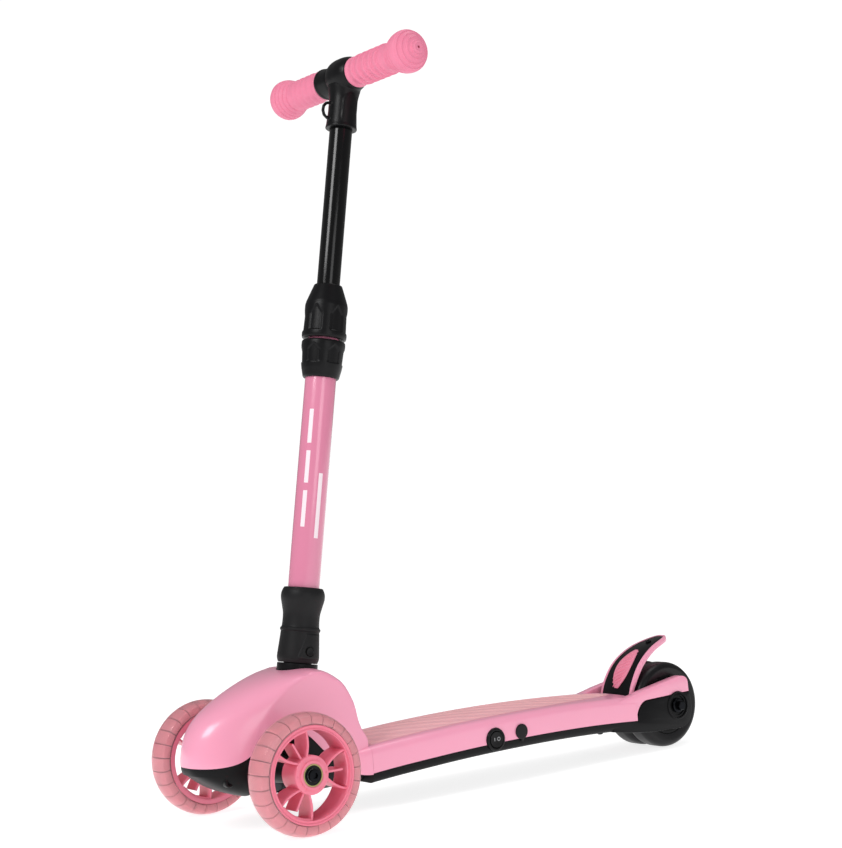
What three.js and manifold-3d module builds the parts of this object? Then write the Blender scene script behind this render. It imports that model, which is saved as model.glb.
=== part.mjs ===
// Three-wheeled kick scooter for a small child, as separate parts.
// Millimetres. +X is the direction of travel, +Y the rider's left, +Z up; the ground is Z = 0.
import * as THREE from 'three';
import { mergeVertices } from 'three/addons/utils/BufferGeometryUtils.js';
import Module from 'manifold-3d';

const wasm = await Module();
wasm.setup();

// ---- Driving dimensions ----------------------------------------------------------------------
const GAP = 0.3;                       // clearance between neighbouring parts
const FRONT = { radius: 60, width: 30, track: 196 };
const REAR = { radius: 50, width: 29, inner: 1.6 };
const WHEELBASE = 557;
const NOSE = 77;                       // how far the cover reaches ahead of the front axle
const FRONT_X = (WHEELBASE + REAR.radius - NOSE) / 2;   // puts the origin under the box's middle
const RAKE = THREE.MathUtils.degToRad(10);              // the stem leans back by this
const KINGPIN_TILT = THREE.MathUtils.degToRad(40);      // steering axis above the horizontal
const STEM_FOOT = { x: -51, z: 100 };  // a point on the stem's axis, from the front axle
const BAR_S = 689;                     // handlebar axis, along the stem from that point
const DECK = { front: -112.5, rear: -491, middle: -313, seam: 47, crown: 76, under: 36.5 };
const WALL = 2.6;                      // wall thickness of the mouldings

// ---- Finishes --------------------------------------------------------------------------------
const FINISH = {
  pinkGloss: { color: 0xec86ab, roughness: 0.3, metalness: 0 },
  pinkRubber: { color: 0xe97c9c, roughness: 0.6, metalness: 0 },
  pinkPlastic: { color: 0xf0708f, roughness: 0.4, metalness: 0 },
  clearTyre: { color: 0xf2989f, roughness: 0.25, metalness: 0 },
  lightPanel: { color: 0xf3b6a4, roughness: 0.35, metalness: 0 },
  blackPlastic: { color: 0x1a1a1c, roughness: 0.5, metalness: 0 },
  blackRubber: { color: 0x141415, roughness: 0.75, metalness: 0 },
  blackPaint: { color: 0x0f0f10, roughness: 0.22, metalness: 0.4 },
  steel: { color: 0xb9bcc0, roughness: 0.35, metalness: 1 },
  blackSteel: { color: 0x202124, roughness: 0.4, metalness: 1 },
  castAlloy: { color: 0x8a8e93, roughness: 0.55, metalness: 1 },
  bearing: { color: 0xb3a878, roughness: 0.35, metalness: 1 },
  board: { color: 0xe9e6dc, roughness: 0.5, metalness: 0 },
  battery: { color: 0x3b4a5c, roughness: 0.5, metalness: 0 },
};

// ---- Solid helpers ---------------------------------------------------------------------------
function signedVolume(geometry) {
  const p = geometry.getAttribute('position');
  const index = geometry.getIndex();
  const [a, b, c] = [new THREE.Vector3(), new THREE.Vector3(), new THREE.Vector3()];
  let sum = 0;
  for (let i = 0; i < index.count; i += 3) {
    a.fromBufferAttribute(p, index.getX(i));
    b.fromBufferAttribute(p, index.getX(i + 1));
    c.fromBufferAttribute(p, index.getX(i + 2));
    sum += a.dot(b.cross(c));
  }
  return sum;
}

// One welded, outward-facing geometry with nothing but positions.
function weld(geometry) {
  const plain = geometry.clone();
  plain.deleteAttribute('normal');
  plain.deleteAttribute('uv');
  const merged = mergeVertices(plain, 1e-3);
  const kept = [];
  const index = merged.getIndex();
  for (let i = 0; i < index.count; i += 3) {
    const [a, b, c] = [index.getX(i), index.getX(i + 1), index.getX(i + 2)];
    if (a !== b && b !== c && c !== a) kept.push(a, b, c);
  }
  merged.setIndex(kept);
  if (signedVolume(merged) < 0) {
    for (let i = 0; i < kept.length; i += 3) [kept[i], kept[i + 1]] = [kept[i + 1], kept[i]];
    merged.setIndex(kept);
  }
  return merged;
}

function solid(geometry) {
  const w = weld(geometry);
  return new wasm.Manifold(new wasm.Mesh({
    numProp: 3,
    vertProperties: new Float32Array(w.getAttribute('position').array),
    triVerts: new Uint32Array(w.getIndex().array),
  }));
}

function geometryOf(manifold) {
  const m = manifold.getMesh();
  const geometry = new THREE.BufferGeometry();
  geometry.setAttribute('position', new THREE.BufferAttribute(new Float32Array(m.vertProperties), 3));
  geometry.setIndex(Array.from(m.triVerts));
  return geometry;
}

const join = (first, ...others) => geometryOf(
  others.reduce((sum, g) => sum.add(solid(g)), solid(first)));
const cut = (body, ...tools) => geometryOf(
  tools.reduce((rest, g) => rest.subtract(solid(g)), solid(body)));
const common = (a, b) => geometryOf(solid(a).intersect(solid(b)));

// The ring's own plane, as two axes, so that its end can be filled in.
function flatten(points) {
  const normal = new THREE.Vector3();
  points.forEach((p, i) => normal.add(p.clone().cross(points[(i + 1) % points.length])));
  normal.normalize();
  const u = points[1].clone().sub(points[0]).normalize();
  const v = normal.clone().cross(u);
  return points.map((p) => new THREE.Vector2(p.dot(u), p.dot(v)));
}

// Rings of equal length joined into one closed body with filled ends.
function loft(rings) {
  const n = rings[0].length;
  const index = [];
  for (let r = 0; r + 1 < rings.length; r += 1) {
    for (let i = 0; i < n; i += 1) {
      const [a, b] = [r * n + i, r * n + ((i + 1) % n)];
      index.push(a, b, b + n, a, b + n, a + n);
    }
  }
  const fill = (points, offset, reversed) => {
    const flat = flatten(points);
    for (const [a, b, c] of THREE.ShapeUtils.triangulateShape(flat, [])) {
      const along = THREE.ShapeUtils.area([flat[a], flat[b], flat[c]]) > 0;
      index.push(...(along !== reversed ? [a, b, c] : [a, c, b]).map((k) => offset + k));
    }
  };
  fill(rings[0], 0, true);
  fill(rings.at(-1), (rings.length - 1) * n, false);
  const geometry = new THREE.BufferGeometry().setFromPoints(rings.flat());
  return geometry.setIndex(index);
}

// A profile of [radius, height] points turned about Z, or about Y for the wheels.
const turnY = (profile, segments = 24) => new THREE.LatheGeometry(
  [...profile, profile[0]].map(([r, h]) => new THREE.Vector2(r, h)), segments);
const turnZ = (profile, segments = 24) => turnY(profile, segments).rotateX(Math.PI / 2);
const ring = (inner, outer, low, high) => [[inner, low], [outer, low], [outer, high], [inner, high]];
const rodY = (radius, low, high, segments = 20) => new THREE.CylinderGeometry(
  radius, radius, high - low, segments).translate(0, (low + high) / 2, 0);
const rodZ = (radius, low, high, segments = 24) => rodY(radius, low, high, segments)
  .rotateX(Math.PI / 2);
const box = (x0, x1, y0, y1, z0, z1) => new THREE.BoxGeometry(x1 - x0, y1 - y0, z1 - z0)
  .translate((x0 + x1) / 2, (y0 + y1) / 2, (z0 + z1) / 2);

// An outline in X and Z, extruded from y0 to y1.
function plate(shape, y0, y1, curveSegments = 6) {
  const geometry = new THREE.ExtrudeGeometry(shape, { depth: y1 - y0, bevelEnabled: false, curveSegments });
  return geometry.rotateX(Math.PI / 2).translate(0, y1, 0);
}
const outline = (points) => new THREE.Shape(points.map(([x, z]) => new THREE.Vector2(x, z)));

const scooter = new THREE.Group();
scooter.position.x = FRONT_X;          // everything below is measured from the front axle
const kingpinFrame = new THREE.Group();
kingpinFrame.position.set(0, 0, 66);
kingpinFrame.rotation.y = Math.PI / 2 - KINGPIN_TILT;
const stemFrame = new THREE.Group();
stemFrame.position.set(STEM_FOOT.x, 0, STEM_FOOT.z);
stemFrame.rotation.y = -RAKE;
scooter.add(kingpinFrame, stemFrame);

const inStem = (geometry) => geometry.rotateY(-RAKE).translate(STEM_FOOT.x, 0, STEM_FOOT.z);
const inKingpin = (geometry) => geometry.rotateY(Math.PI / 2 - KINGPIN_TILT).translate(0, 0, 66);

function add(name, geometry, finish, parent = scooter, place = [0, 0, 0]) {
  const mesh = new THREE.Mesh(weld(geometry), new THREE.MeshStandardMaterial(FINISH[finish]));
  mesh.name = name;
  mesh.position.set(...place);
  parent.add(mesh);
  return mesh;
}

// ---- Deck ------------------------------------------------------------------------------------
const arch = (x) => -2.1e-4 * (x - DECK.middle) ** 2;
const seamZ = (x) => DECK.seam + arch(x);
const crownZ = (x, y = 0) => DECK.crown + arch(x) - 3 * (y / 54) ** 2;
const deckHalf = (x) => 54 - 8 * THREE.MathUtils.smoothstep(-x, 280, 490)
  - 3 * THREE.MathUtils.smoothstep(x, -200, -110);
const panelHalf = (x) => 41 * Math.sqrt(1 - THREE.MathUtils.clamp((-x - 250) / 236, 0, 0.99) ** 2.2);

function stations(from, to, count) {
  return Array.from({ length: count }, (_, i) => from + (to - from) * i / (count - 1));
}

// Half of an upper section, from its foot on the left side to the middle, then mirrored.
function upperRing(x, inset, foot, ceiling = 0) {
  const half = deckHalf(x) - inset;
  const corner = 8 - Math.min(inset, 4);
  const side = [[half, foot]];
  for (let k = 0; k <= 3; k += 1) {
    const a = (k / 3) * (Math.PI / 2);
    const y = half - corner + corner * Math.cos(a);
    side.push([y, crownZ(x, half - corner) - corner + corner * Math.sin(a) - ceiling]);
  }
  side.push([half * 0.5, crownZ(x, half * 0.5) - ceiling]);
  const ringPoints = [...side, ...side.slice().reverse().map(([y, z]) => [-y, z])];
  return ringPoints.map(([y, z]) => new THREE.Vector3(x, y, z));
}

// A strip that follows the crown of the deck between two depths below it.
function crownStrip(xs, halfOf, low, high) {
  return loft(xs.map((x) => {
    const half = halfOf(x);
    const across = [-1, -0.5, 0, 0.5, 1].map((u) => u * half);
    const under = across.map((y) => new THREE.Vector3(x, y, crownZ(x, y) + low));
    const over = across.slice().reverse().map((y) => new THREE.Vector3(x, y, crownZ(x, y) + high));
    return [...under, ...over];
  }));
}

const SWITCH = { x: -272, z: 51, radius: 12.4 };
const PORT = { x: -309, z: 54.5, radius: 6.5 };
const REAR_AXLE = { x: -WHEELBASE, z: REAR.radius };
const BRAKE_PIN = { x: -497.5, z: 60 };
const FORK = { inner: 34, outer: 46 };
const holeY = (at, radius, low, high) => rodY(radius, low, high).translate(at.x, 0, at.z);

function forkCap() {
  const cap = new THREE.Shape();
  cap.moveTo(-468, 48);
  cap.lineTo(-462, 66);
  cap.quadraticCurveTo(-482, 68.5, -500, 73);
  cap.lineTo(-562, 83.5);
  cap.quadraticCurveTo(-575, 85, -577, 76);
  cap.lineTo(-577.5, 64.3);
  cap.lineTo(-508, 62.3);
  cap.quadraticCurveTo(-496, 61, -491.2, 46);
  cap.lineTo(-485, 46);
  return cap;
}

function forkPlate() {
  const arm = new THREE.Shape();
  arm.moveTo(-452, seamZ(-452) - GAP);
  arm.lineTo(-491.5, seamZ(-491) - GAP);
  arm.quadraticCurveTo(-496.5, 60.4, -508, 62);
  arm.lineTo(-577.5, 64);
  arm.quadraticCurveTo(-583, 50, -579, 36);
  arm.quadraticCurveTo(-575, 24, -560, 23);
  arm.lineTo(-520, 24);
  arm.quadraticCurveTo(-480, 27, -452, 32.6);
  return arm;
}

function deckShell() {
  const xs = stations(DECK.front, DECK.rear, 12);
  const outer = loft(xs.map((x) => upperRing(x, 0, seamZ(x))));
  const hollow = loft(stations(DECK.front + 4, DECK.rear + WALL, 12)
    .map((x) => upperRing(x, WALL, seamZ(x) - 6, 4.2)));
  const recess = crownStrip(stations(-117.7, -485.3, 12), (x) => panelHalf(x) + GAP, -1.7, 8);
  const window = crownStrip(stations(-150, -430, 9), (x) => panelHalf(x) - 7, -9, 4);
  const caps = [[FORK.inner, FORK.outer - 0.2], [-FORK.outer + 0.2, -FORK.inner]]
    .map(([y0, y1]) => plate(forkCap(), y0, y1));
  return cut(cut(join(cut(outer, hollow), ...caps), recess, window),
    holeY(SWITCH, SWITCH.radius + GAP, 40, 60),
    holeY(PORT, PORT.radius + GAP, 40, 60),
    holeY(BRAKE_PIN, 2.3, -40, 40));
}

function deckTray() {
  const trayRing = (x, inset, top) => {
    const half = deckHalf(x) - inset;
    const floor = DECK.under + arch(x) + inset;
    const side = [[half, top], [half, floor + 5], [half - 2, floor + 1.4], [half - 6, floor]];
    return [...side, ...side.slice().reverse().map(([y, z]) => [-y, z])]
      .map(([y, z]) => new THREE.Vector3(x, y, z));
  };
  const outer = loft(stations(DECK.front, DECK.rear, 11).map((x) => trayRing(x, 0, seamZ(x) - GAP)));
  const hollow = loft(stations(DECK.front + 4, DECK.rear + WALL, 11)
    .map((x) => trayRing(x, WALL, seamZ(x) + 5)));
  const arms = [[FORK.inner, FORK.outer], [-FORK.outer, -FORK.inner]]
    .map(([y0, y1]) => plate(forkPlate(), y0, y1));
  return cut(join(cut(outer, hollow), ...arms),
    holeY(SWITCH, SWITCH.radius + GAP, 40, 60),
    holeY(REAR_AXLE, 4.2, -50, 50));
}

function buildDeck() {
  add('deck_shell', deckShell(), 'pinkGloss');
  add('deck_tray', deckTray(), 'blackPlastic');
  add('light_panel', crownStrip(stations(-118, -485, 12), panelHalf, -1.4, 0.3), 'lightPanel');
  add('light_guide', crownStrip(stations(-146, -434, 9), (x) => panelHalf(x) - 5, -7.4, -5), 'board');
  add('battery_pack', box(-300, -225, -18, 18, 39.8, 54), 'battery');
  add('control_board', box(-345, -306, -16, 16, 42, 50), 'board');
}

// ---- Front body: cover above, black housings below ---------------------------------------------
// The profile over the top, nose to tail, and the one underneath, as curves of height.
const topCurve = new THREE.SplineCurve([[77, 74], [75.6, 86], [70, 101], [56, 116], [30, 131], [0, 142.5],
  [-30, 150], [-58, 152], [-80, 145.5], [-97, 128], [-107, 104], [-112, 72]]
  .map(([x, z]) => new THREE.Vector2(x, z)));
const underCurve = new THREE.SplineCurve([[77, 68], [72, 58], [49, 41.5], [27, 32], [4, 27], [-30, 25.6],
  [-70, 25.6], [-112, 27]].map(([x, z]) => new THREE.Vector2(x, z)));

// A line as points whose first number rises, read off by that number.
const rising = (points) => [...points].sort((a, b) => a.x - b.x);
function readOff(line, at) {
  const found = line.findIndex((p) => p.x > at);
  const k = THREE.MathUtils.clamp(found < 0 ? line.length - 1 : found, 1, line.length - 1);
  const [a, b] = [line[k - 1], line[k]];
  return a.y + (b.y - a.y) * THREE.MathUtils.clamp((at - a.x) / (b.x - a.x), 0, 1);
}

const swap = (p) => new THREE.Vector2(p.y, p.x);
const overTop = topCurve.getPoints(220);
const peak = overTop.reduce((best, p, i) => (p.y > overTop[best].y ? i : best), 0);
const topLine = rising(overTop);
const underLine = rising(underCurve.getPoints(140));
const noseLine = rising(overTop.slice(0, peak + 1).map(swap));
const tailLine = rising(overTop.slice(peak).map(swap));

// The flat side panel's edge at each height, ahead and behind.
const PANEL_TOP = 149.6;
const DECK_LINE = 74;   // below this the body runs back into the deck at full width
const panelLine = (points) => rising(new THREE.SplineCurve(
  points.map(([z, x]) => new THREE.Vector2(z, x))).getPoints(80));
const panelAhead = panelLine([[60, 38], [70, 33], [85, 24.5], [96, 17.7], [105.5, 12], [113.5, 7], [122, 0],
  [131, -10.4], [140.3, -23], [146.5, -38], [149, -49], [PANEL_TOP, -54]]);
const panelBehind = panelLine([[60, -116], [74, -112], [84, -105.5], [94, -100.7], [110.7, -97], [123.8, -90.6], [134.9, -82.9],
  [142.5, -71.2], [148, -60], [PANEL_TOP, -54]]);

// Half the front body's width at x and height z: a flat side panel, rounded away ahead and behind.
function bodyHalf(x, z) {
  const [ahead, behind] = [readOff(panelAhead, z), readOff(panelBehind, z)];
  let [reach, power] = [0, 1.85];
  if (x > ahead) reach = (x - ahead) / (readOff(noseLine, z) - ahead);
  if (x < behind && z > DECK_LINE) {
    [reach, power] = [(behind - x) / Math.max(behind - readOff(tailLine, z), 0.5), 2.2];
  }
  const lid = THREE.MathUtils.clamp((z - PANEL_TOP) / (overTop[peak].y + 0.4 - PANEL_TOP), 0, 1);
  const narrowing = THREE.MathUtils.clamp((-x - 45) / 90, 0, 1);
  return (46 - 3 * narrowing ** 2) * Math.sqrt(1 - lid * lid)
    * (1 - THREE.MathUtils.clamp(reach, 0, 1) ** power) ** (1 / power);
}

// One closed section of the front body, wall thickness given by inset.
function bodyRing(x, inset) {
  const widest = Math.max(bodyHalf(x, 70), 1);
  const narrow = Math.max(widest - inset, 0.6) / widest;
  const [top, under] = [readOff(topLine, x), readOff(underLine, x)];
  const waist = THREE.MathUtils.clamp(70, under + inset + 1, top - inset - 1);
  const points = [];
  for (let k = 0; k < 26; k += 1) {
    const a = (k / 26) * Math.PI * 2;
    const [c, s] = [Math.cos(a), Math.sin(a)];
    const half = s >= 0 ? bodyHalf(x, waist + (top - waist) * s) : widest * Math.abs(c) ** (2 / 3.2);
    const reach = s >= 0 ? (top - inset - waist) * s : -(waist - under - inset) * Math.abs(s) ** (2 / 3.2);
    points.push(new THREE.Vector3(x, Math.sign(c) * Math.max(half * narrow, 0.05), waist + reach));
  }
  return points;
}

function bodyLoft(inset, tail = DECK.front + GAP) {
  const xs = [76.6, 73.5, 67, 56, 42, 24, 4, -16, -36, -58, -76, -90, -102, -109];
  const reach = xs.map((x) => Math.min(x, 76.6 - inset)).filter((x, i, all) => all.indexOf(x) === i);
  return loft([...reach, tail].map((x) => bodyRing(x, inset)));
}

// Everything under the line where the pink cover ends; the arch clears the steering beam.
function underCover(drop) {
  const line = new THREE.SplineCurve([[86, 69], [60, 68], [38, 72], [14, 85], [-12, 96], [-36, 90],
    [-58, 69], [-82, 46], [-100, 38.5], [-116, 36.5]].map(([x, z]) => new THREE.Vector2(x, z - drop)));
  const shape = new THREE.Shape(line.getPoints(18));
  shape.lineTo(-116, 0);
  shape.lineTo(86, 0);
  return plate(shape, -80, 80);
}

const post = (radius, low, high) => inStem(rodZ(radius, low, high));

function frontCover() {
  const shell = cut(bodyLoft(0), bodyLoft(WALL, DECK.front - 1));
  return cut(shell, underCover(0), post(21.9, 30, 80));
}

function noseHousing() {
  const region = common(underCover(GAP), box(22, 90, -80, 80, 0, 120));
  const filled = common(bodyLoft(0.4), region);
  const hollow = common(bodyLoft(0.4 + WALL), box(25, 72, -80, 80, 20, 130));
  return cut(filled, hollow, inKingpin(rodZ(11, 10, 42)));
}

function rearHousing() {
  const region = common(underCover(GAP), box(-112.2, -26, -80, 80, 0, 120));
  const filled = common(bodyLoft(0.4), region);
  const hollow = common(bodyLoft(0.4 + WALL), box(-120, -29, -80, 80, 20, 130));
  return cut(filled, hollow, inKingpin(rodZ(13.5, -50, 0)), box(-34, -22, -15.5, 15.5, 29, 120));
}

function neckCasting() {
  const web = plate(outline([[-112, 35], [-112, 44], [-112, 56], [-92, 60], [-84, 72], [-80, 104],
    [-36, 104], [-37, 78], [-44, 68], [-31, 60], [-26, 46], [-28, 31.5], [-60, 31]]), -15, 15);
  const tongue = box(-176, -104, -24, 24, 42, 54);
  const boss = inKingpin(rodZ(12.5, -42, -23.8));
  const cup = post(20, -4, 42);
  const flange = post(21.4, 40, 45.6);
  return cut(join(web, tongue, boss, cup, flange), post(14.9, 0, 60), inKingpin(rodZ(5.1, -60, 0)));
}

function buildFront() {
  add('front_cover', frontCover(), 'pinkGloss');
  add('nose_housing', noseHousing(), 'blackPlastic');
  add('rear_housing', rearHousing(), 'blackPlastic');
  add('neck_casting', neckCasting(), 'castAlloy');
  add('socket_ring', turnZ(ring(15.1, 21.2, 46, 56.4)), 'blackPlastic', stemFrame);
  add('steering_post', turnZ(ring(11.6, 14.6, 0.4, 116)), 'steel', stemFrame);
}

// ---- Steering truck --------------------------------------------------------------------------
const WHEEL_Y = FRONT.track / 2;

function truckBeam() {
  const rows = [[-80, 10.5, 60, 2], [-66, 11, 60, 2], [-46, 13, 61.5, 2.6], [-20, 14, 65, 4], [0, 14, 66, 5],
    [20, 14, 65, 4], [46, 13, 61.5, 2.6], [66, 11, 60, 2], [80, 10.5, 60, 2]];
  const rings = rows.map(([y, half, z, power]) => Array.from({ length: 16 }, (_, k) => {
    const a = (k / 16) * Math.PI * 2;
    const u = half * Math.sign(Math.cos(a)) * Math.abs(Math.cos(a)) ** (2 / power);
    const v = (half + 1) * Math.sign(Math.sin(a)) * Math.abs(Math.sin(a)) ** (2 / power);
    const [c, s] = [Math.cos(KINGPIN_TILT), Math.sin(KINGPIN_TILT)];
    return new THREE.Vector3(u * c - v * s, y, z + u * s + v * c);
  }));
  return cut(loft(rings), inKingpin(rodZ(5.3, -40, 40)),
    rodY(4.15, 52, 90).translate(0, 0, FRONT.radius), rodY(4.15, -90, -52).translate(0, 0, FRONT.radius));
}

function hexBolt(shank, headRadius, headDepth, length) {
  const head = new THREE.CylinderGeometry(headRadius, headRadius, headDepth, 24)
    .translate(0, length + headDepth / 2, 0);
  const socket = new THREE.CylinderGeometry(headRadius * 0.5, headRadius * 0.5, headDepth, 6)
    .translate(0, length + headDepth, 0);
  return cut(join(rodY(shank, 0, length + 0.5), head), socket);
}

function buildTruck() {
  add('truck_beam', truckBeam(), 'blackPlastic');
  add('kingpin', turnZ([[0, -41], [4.8, -41], [4.8, 32], [0, 32]], 24), 'blackSteel', kingpinFrame);
  add('kingpin_bush_rear', turnZ(ring(5.1, 12, -23.4, -14.5), 24), 'blackRubber', kingpinFrame);
  add('kingpin_bush_front', turnZ(ring(5.1, 11, 14.5, 21), 24), 'blackRubber', kingpinFrame);
  add('kingpin_nut', cut(rodZ(8.5, 21.3, 28.5, 6), rodZ(5.1, 0, 40, 16)), 'steel', kingpinFrame);
  for (const [side, sign] of [['left', 1], ['right', -1]]) {
    const bolt = hexBolt(3.85, 6.4, 3.2, WHEEL_Y + 14.9 - 54).translate(0, 54, FRONT.radius);
    add(`axle_bolt_${side}`, sign > 0 ? bolt : bolt.rotateZ(Math.PI), 'blackSteel');
  }
}

// ---- Wheels ----------------------------------------------------------------------------------
// A tulip-shaped spoke: a ribbon loop that widens from the hub to the rim, with a rib inside it.
function tulipSpoke() {
  const loop = new THREE.Shape();
  loop.moveTo(15, -3);
  loop.quadraticCurveTo(31, -9, 41.5, -19);
  loop.quadraticCurveTo(49.6, 0, 41.5, 19);
  loop.quadraticCurveTo(31, 9, 15, 3);
  const hole = new THREE.Path();
  hole.moveTo(22.5, 0);
  hole.quadraticCurveTo(32, 5.5, 39.5, 13.2);
  hole.quadraticCurveTo(42.8, 0, 39.5, -13.2);
  hole.quadraticCurveTo(32, -5.5, 22.5, 0);
  loop.holes.push(hole);
  return [plate(loop, -12, 12, 3), box(21, 34, -12, 2, -1.1, 1.1)];
}

function frontCore() {
  const rim = turnY([[43.6, -14], [48, -14], [48, -12.5], [46.8, -11], [46.8, 11], [48, 12.5], [48, 14],
    [43.6, 14]], 30);
  const hub = turnY(ring(6.5, 19, -12.5, 12.5), 20);
  const collar = turnY(ring(6.5, 14, -15, 15), 20);
  const spokes = [180, 60, -60].flatMap((degrees) => tulipSpoke()
    .map((g) => g.rotateY(-THREE.MathUtils.degToRad(degrees))));
  const seats = [[7.3, 16], [-16, -7.3]].map(([low, high]) => rodY(11.15, low, high, 20));
  return cut(join(rim, hub, collar, ...spokes), ...seats);
}

const frontTyre = () => turnY([[48.3, -14.2], [52, -15], [57, -13], [60, -5], [60, 5], [57, 13], [52, 15],
  [48.3, 14.2], [48.3, 12.7], [47.1, 11], [47.1, -11], [48.3, -12.7]], 30);

function buildWheels() {
  for (const [side, sign] of [['left', 1], ['right', -1]]) {
    const at = [0, sign * WHEEL_Y, FRONT.radius];
    const facing = (g) => (sign > 0 ? g : g.scale(1, -1, 1));
    add(`front_core_${side}`, facing(frontCore()), 'pinkPlastic', scooter, at);
    add(`front_tyre_${side}`, frontTyre(), 'clearTyre', scooter, at);
    add(`front_bearing_outer_${side}`, facing(turnY(ring(4.1, 10.9, 7.5, 14.5), 18)), 'bearing', scooter, at);
    add(`front_bearing_inner_${side}`, facing(turnY(ring(4.1, 10.9, -14.5, -7.5), 18)), 'bearing', scooter, at);
    const middle = REAR.inner + REAR.width / 2;
    const rearAt = [REAR_AXLE.x, sign * middle, REAR_AXLE.z];
    const half = REAR.width / 2;
    const core = turnY([[6.5, 1 - half], [14.5, 1 - half], [14.5, -4], [30, -4], [30, 1.5 - half],
      [34, 1.5 - half], [34, half - 1.5], [30, half - 1.5], [30, 4], [14.5, 4], [14.5, half], [11.1, half],
      [11.1, half - 7.4], [6.5, half - 7.4]], 24);
    add(`rear_core_${side}`, facing(core), 'blackPlastic', scooter, rearAt);
    add(`rear_tyre_${side}`, turnY([[34.3, -half + 1.4], [44, -half], [48, -half + 2.6], [50, -half + 7],
      [50, half - 7], [48, half - 2.6], [44, half], [34.3, half - 1.4]], 32),
    'blackRubber', scooter, rearAt);
    add(`rear_bearing_${side}`, facing(turnY(ring(4.1, 10.9, half - 7, half - 0.2), 18)), 'bearing',
      scooter, rearAt);
    add(`rear_spacer_${side}`, turnY(ring(4.1, 6.4, 31.4, 33.7), 18).scale(1, sign, 1), 'steel', scooter,
      [REAR_AXLE.x, 0, REAR_AXLE.z]);
  }
  const shank = rodY(3.85, -51.5, 46.5);
  const washer = rodY(8.5, 46.3, 48.6);
  const head = rodY(5.6, 48.4, 54, 6);
  add('rear_axle_bolt', join(shank, washer, head), 'blackSteel', scooter, [REAR_AXLE.x, 0, REAR_AXLE.z]);
  add('rear_axle_nut', cut(rodY(8, -53, -46.3, 6), rodY(4.15, -60, -40, 16)), 'blackSteel', scooter,
    [REAR_AXLE.x, 0, REAR_AXLE.z]);
}

// ---- Foot brake ------------------------------------------------------------------------------
const brakeLine = new THREE.SplineCurve([[-499.5, 63], [-507, 82], [-523, 103], [-549, 119], [-584, 129]]
  .map(([x, z]) => new THREE.Vector2(x, z)));
const brakeHalf = (u) => 26.5 * Math.sqrt(1 - (0.985 * u) ** 2.6);

// A strip on the brake's face between two offsets; scale narrows it to trim and inlays.
function brakeStrip(from, to, halfOf, low, high) {
  return loft(stations(from, to, 13).map((u) => {
    const back = typeof low === 'function' ? low(u) : low;
    const at = brakeLine.getPoint(u);
    const along = brakeLine.getTangent(u);
    const out = new THREE.Vector2(along.y, -along.x);
    const place = (y, d) => new THREE.Vector3(at.x + out.x * d, y, at.y + out.y * d);
    const half = halfOf(u);
    return [place(-half, back), place(half, back), place(half, high), place(-half, high)];
  }));
}

function buildBrake() {
  const barrel = rodY(4.1, -26, 26).translate(BRAKE_PIN.x, 0, BRAKE_PIN.z);
  const back = (u) => -4.2 - 1.8 * THREE.MathUtils.smoothstep(u, 0, 0.45);   // thinner at the root
  const fender = join(brakeStrip(0, 1, brakeHalf, back, 0), barrel);
  const tray = brakeStrip(0.02, 0.965, (u) => brakeHalf(u) - 3.6, -1.8, 3);
  add('brake_fender', cut(fender, tray, holeY(BRAKE_PIN, 2.3, -40, 40)), 'pinkGloss');
  const plateHalf = (u) => brakeHalf(u) - 3.9;
  add('brake_plate', brakeStrip(0.026, 0.96, plateHalf, -1.5, -0.2), 'blackPlastic');
  const leafHalf = (u) => 12 * Math.sin(Math.PI * THREE.MathUtils.clamp((u - 0.14) / 0.56, 0.03, 0.97)) ** 0.7;
  add('brake_leaf', brakeStrip(0.16, 0.68, leafHalf, 0.1, 1.3), 'pinkRubber');
  const tip = brakeLine.getPoint(0.83);
  const lean = brakeLine.getTangent(0.83).angle();
  add('brake_screw', rodZ(3.6, 0.1, 1.9, 20).rotateY(-(lean + Math.PI)), 'blackSteel', scooter,
    [tip.x, 0, tip.y]);
  add('brake_pin', rodY(2, -38, 38), 'steel', scooter, [BRAKE_PIN.x, 0, BRAKE_PIN.z]);
  add('brake_spring', turnY(ring(2.4, 4.4, 26.6, 33.4), 20), 'steel', scooter, [BRAKE_PIN.x, 0, BRAKE_PIN.z]);
}

// ---- Switch and charging port ------------------------------------------------------------------
function buildSide() {
  const wall = deckHalf(SWITCH.x);
  const at = [SWITCH.x, wall, SWITCH.z];
  const cup = turnY([[0, -8], [12.4, -8], [12.4, 1.6], [11.6, 2.4], [9.3, 2.4], [9.3, -6], [0, -6]], 32);
  add('switch_bezel', cup, 'blackPlastic', scooter, at);
  add('switch_rocker', rodY(8.6, -2.2, 2.8, 28), 'blackPlastic', scooter, at);
  const side = [PORT.x, deckHalf(PORT.x), PORT.z];
  const socket = turnY([[0, -9], [6.5, -9], [6.5, -0.2], [4, -0.2], [4, -7], [0, -7]], 24);
  add('charge_socket', socket, 'blackPlastic', scooter, side);
  const cap = join(rodY(8.3, 0.4, 2.2, 28), box(-1.6, 1.6, 0.4, 2.2, -10.4, -6));
  add('port_cover', cap, 'blackRubber', scooter, side);
}

// ---- Handlebar stem --------------------------------------------------------------------------
const BUTTON_S = 69;

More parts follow.
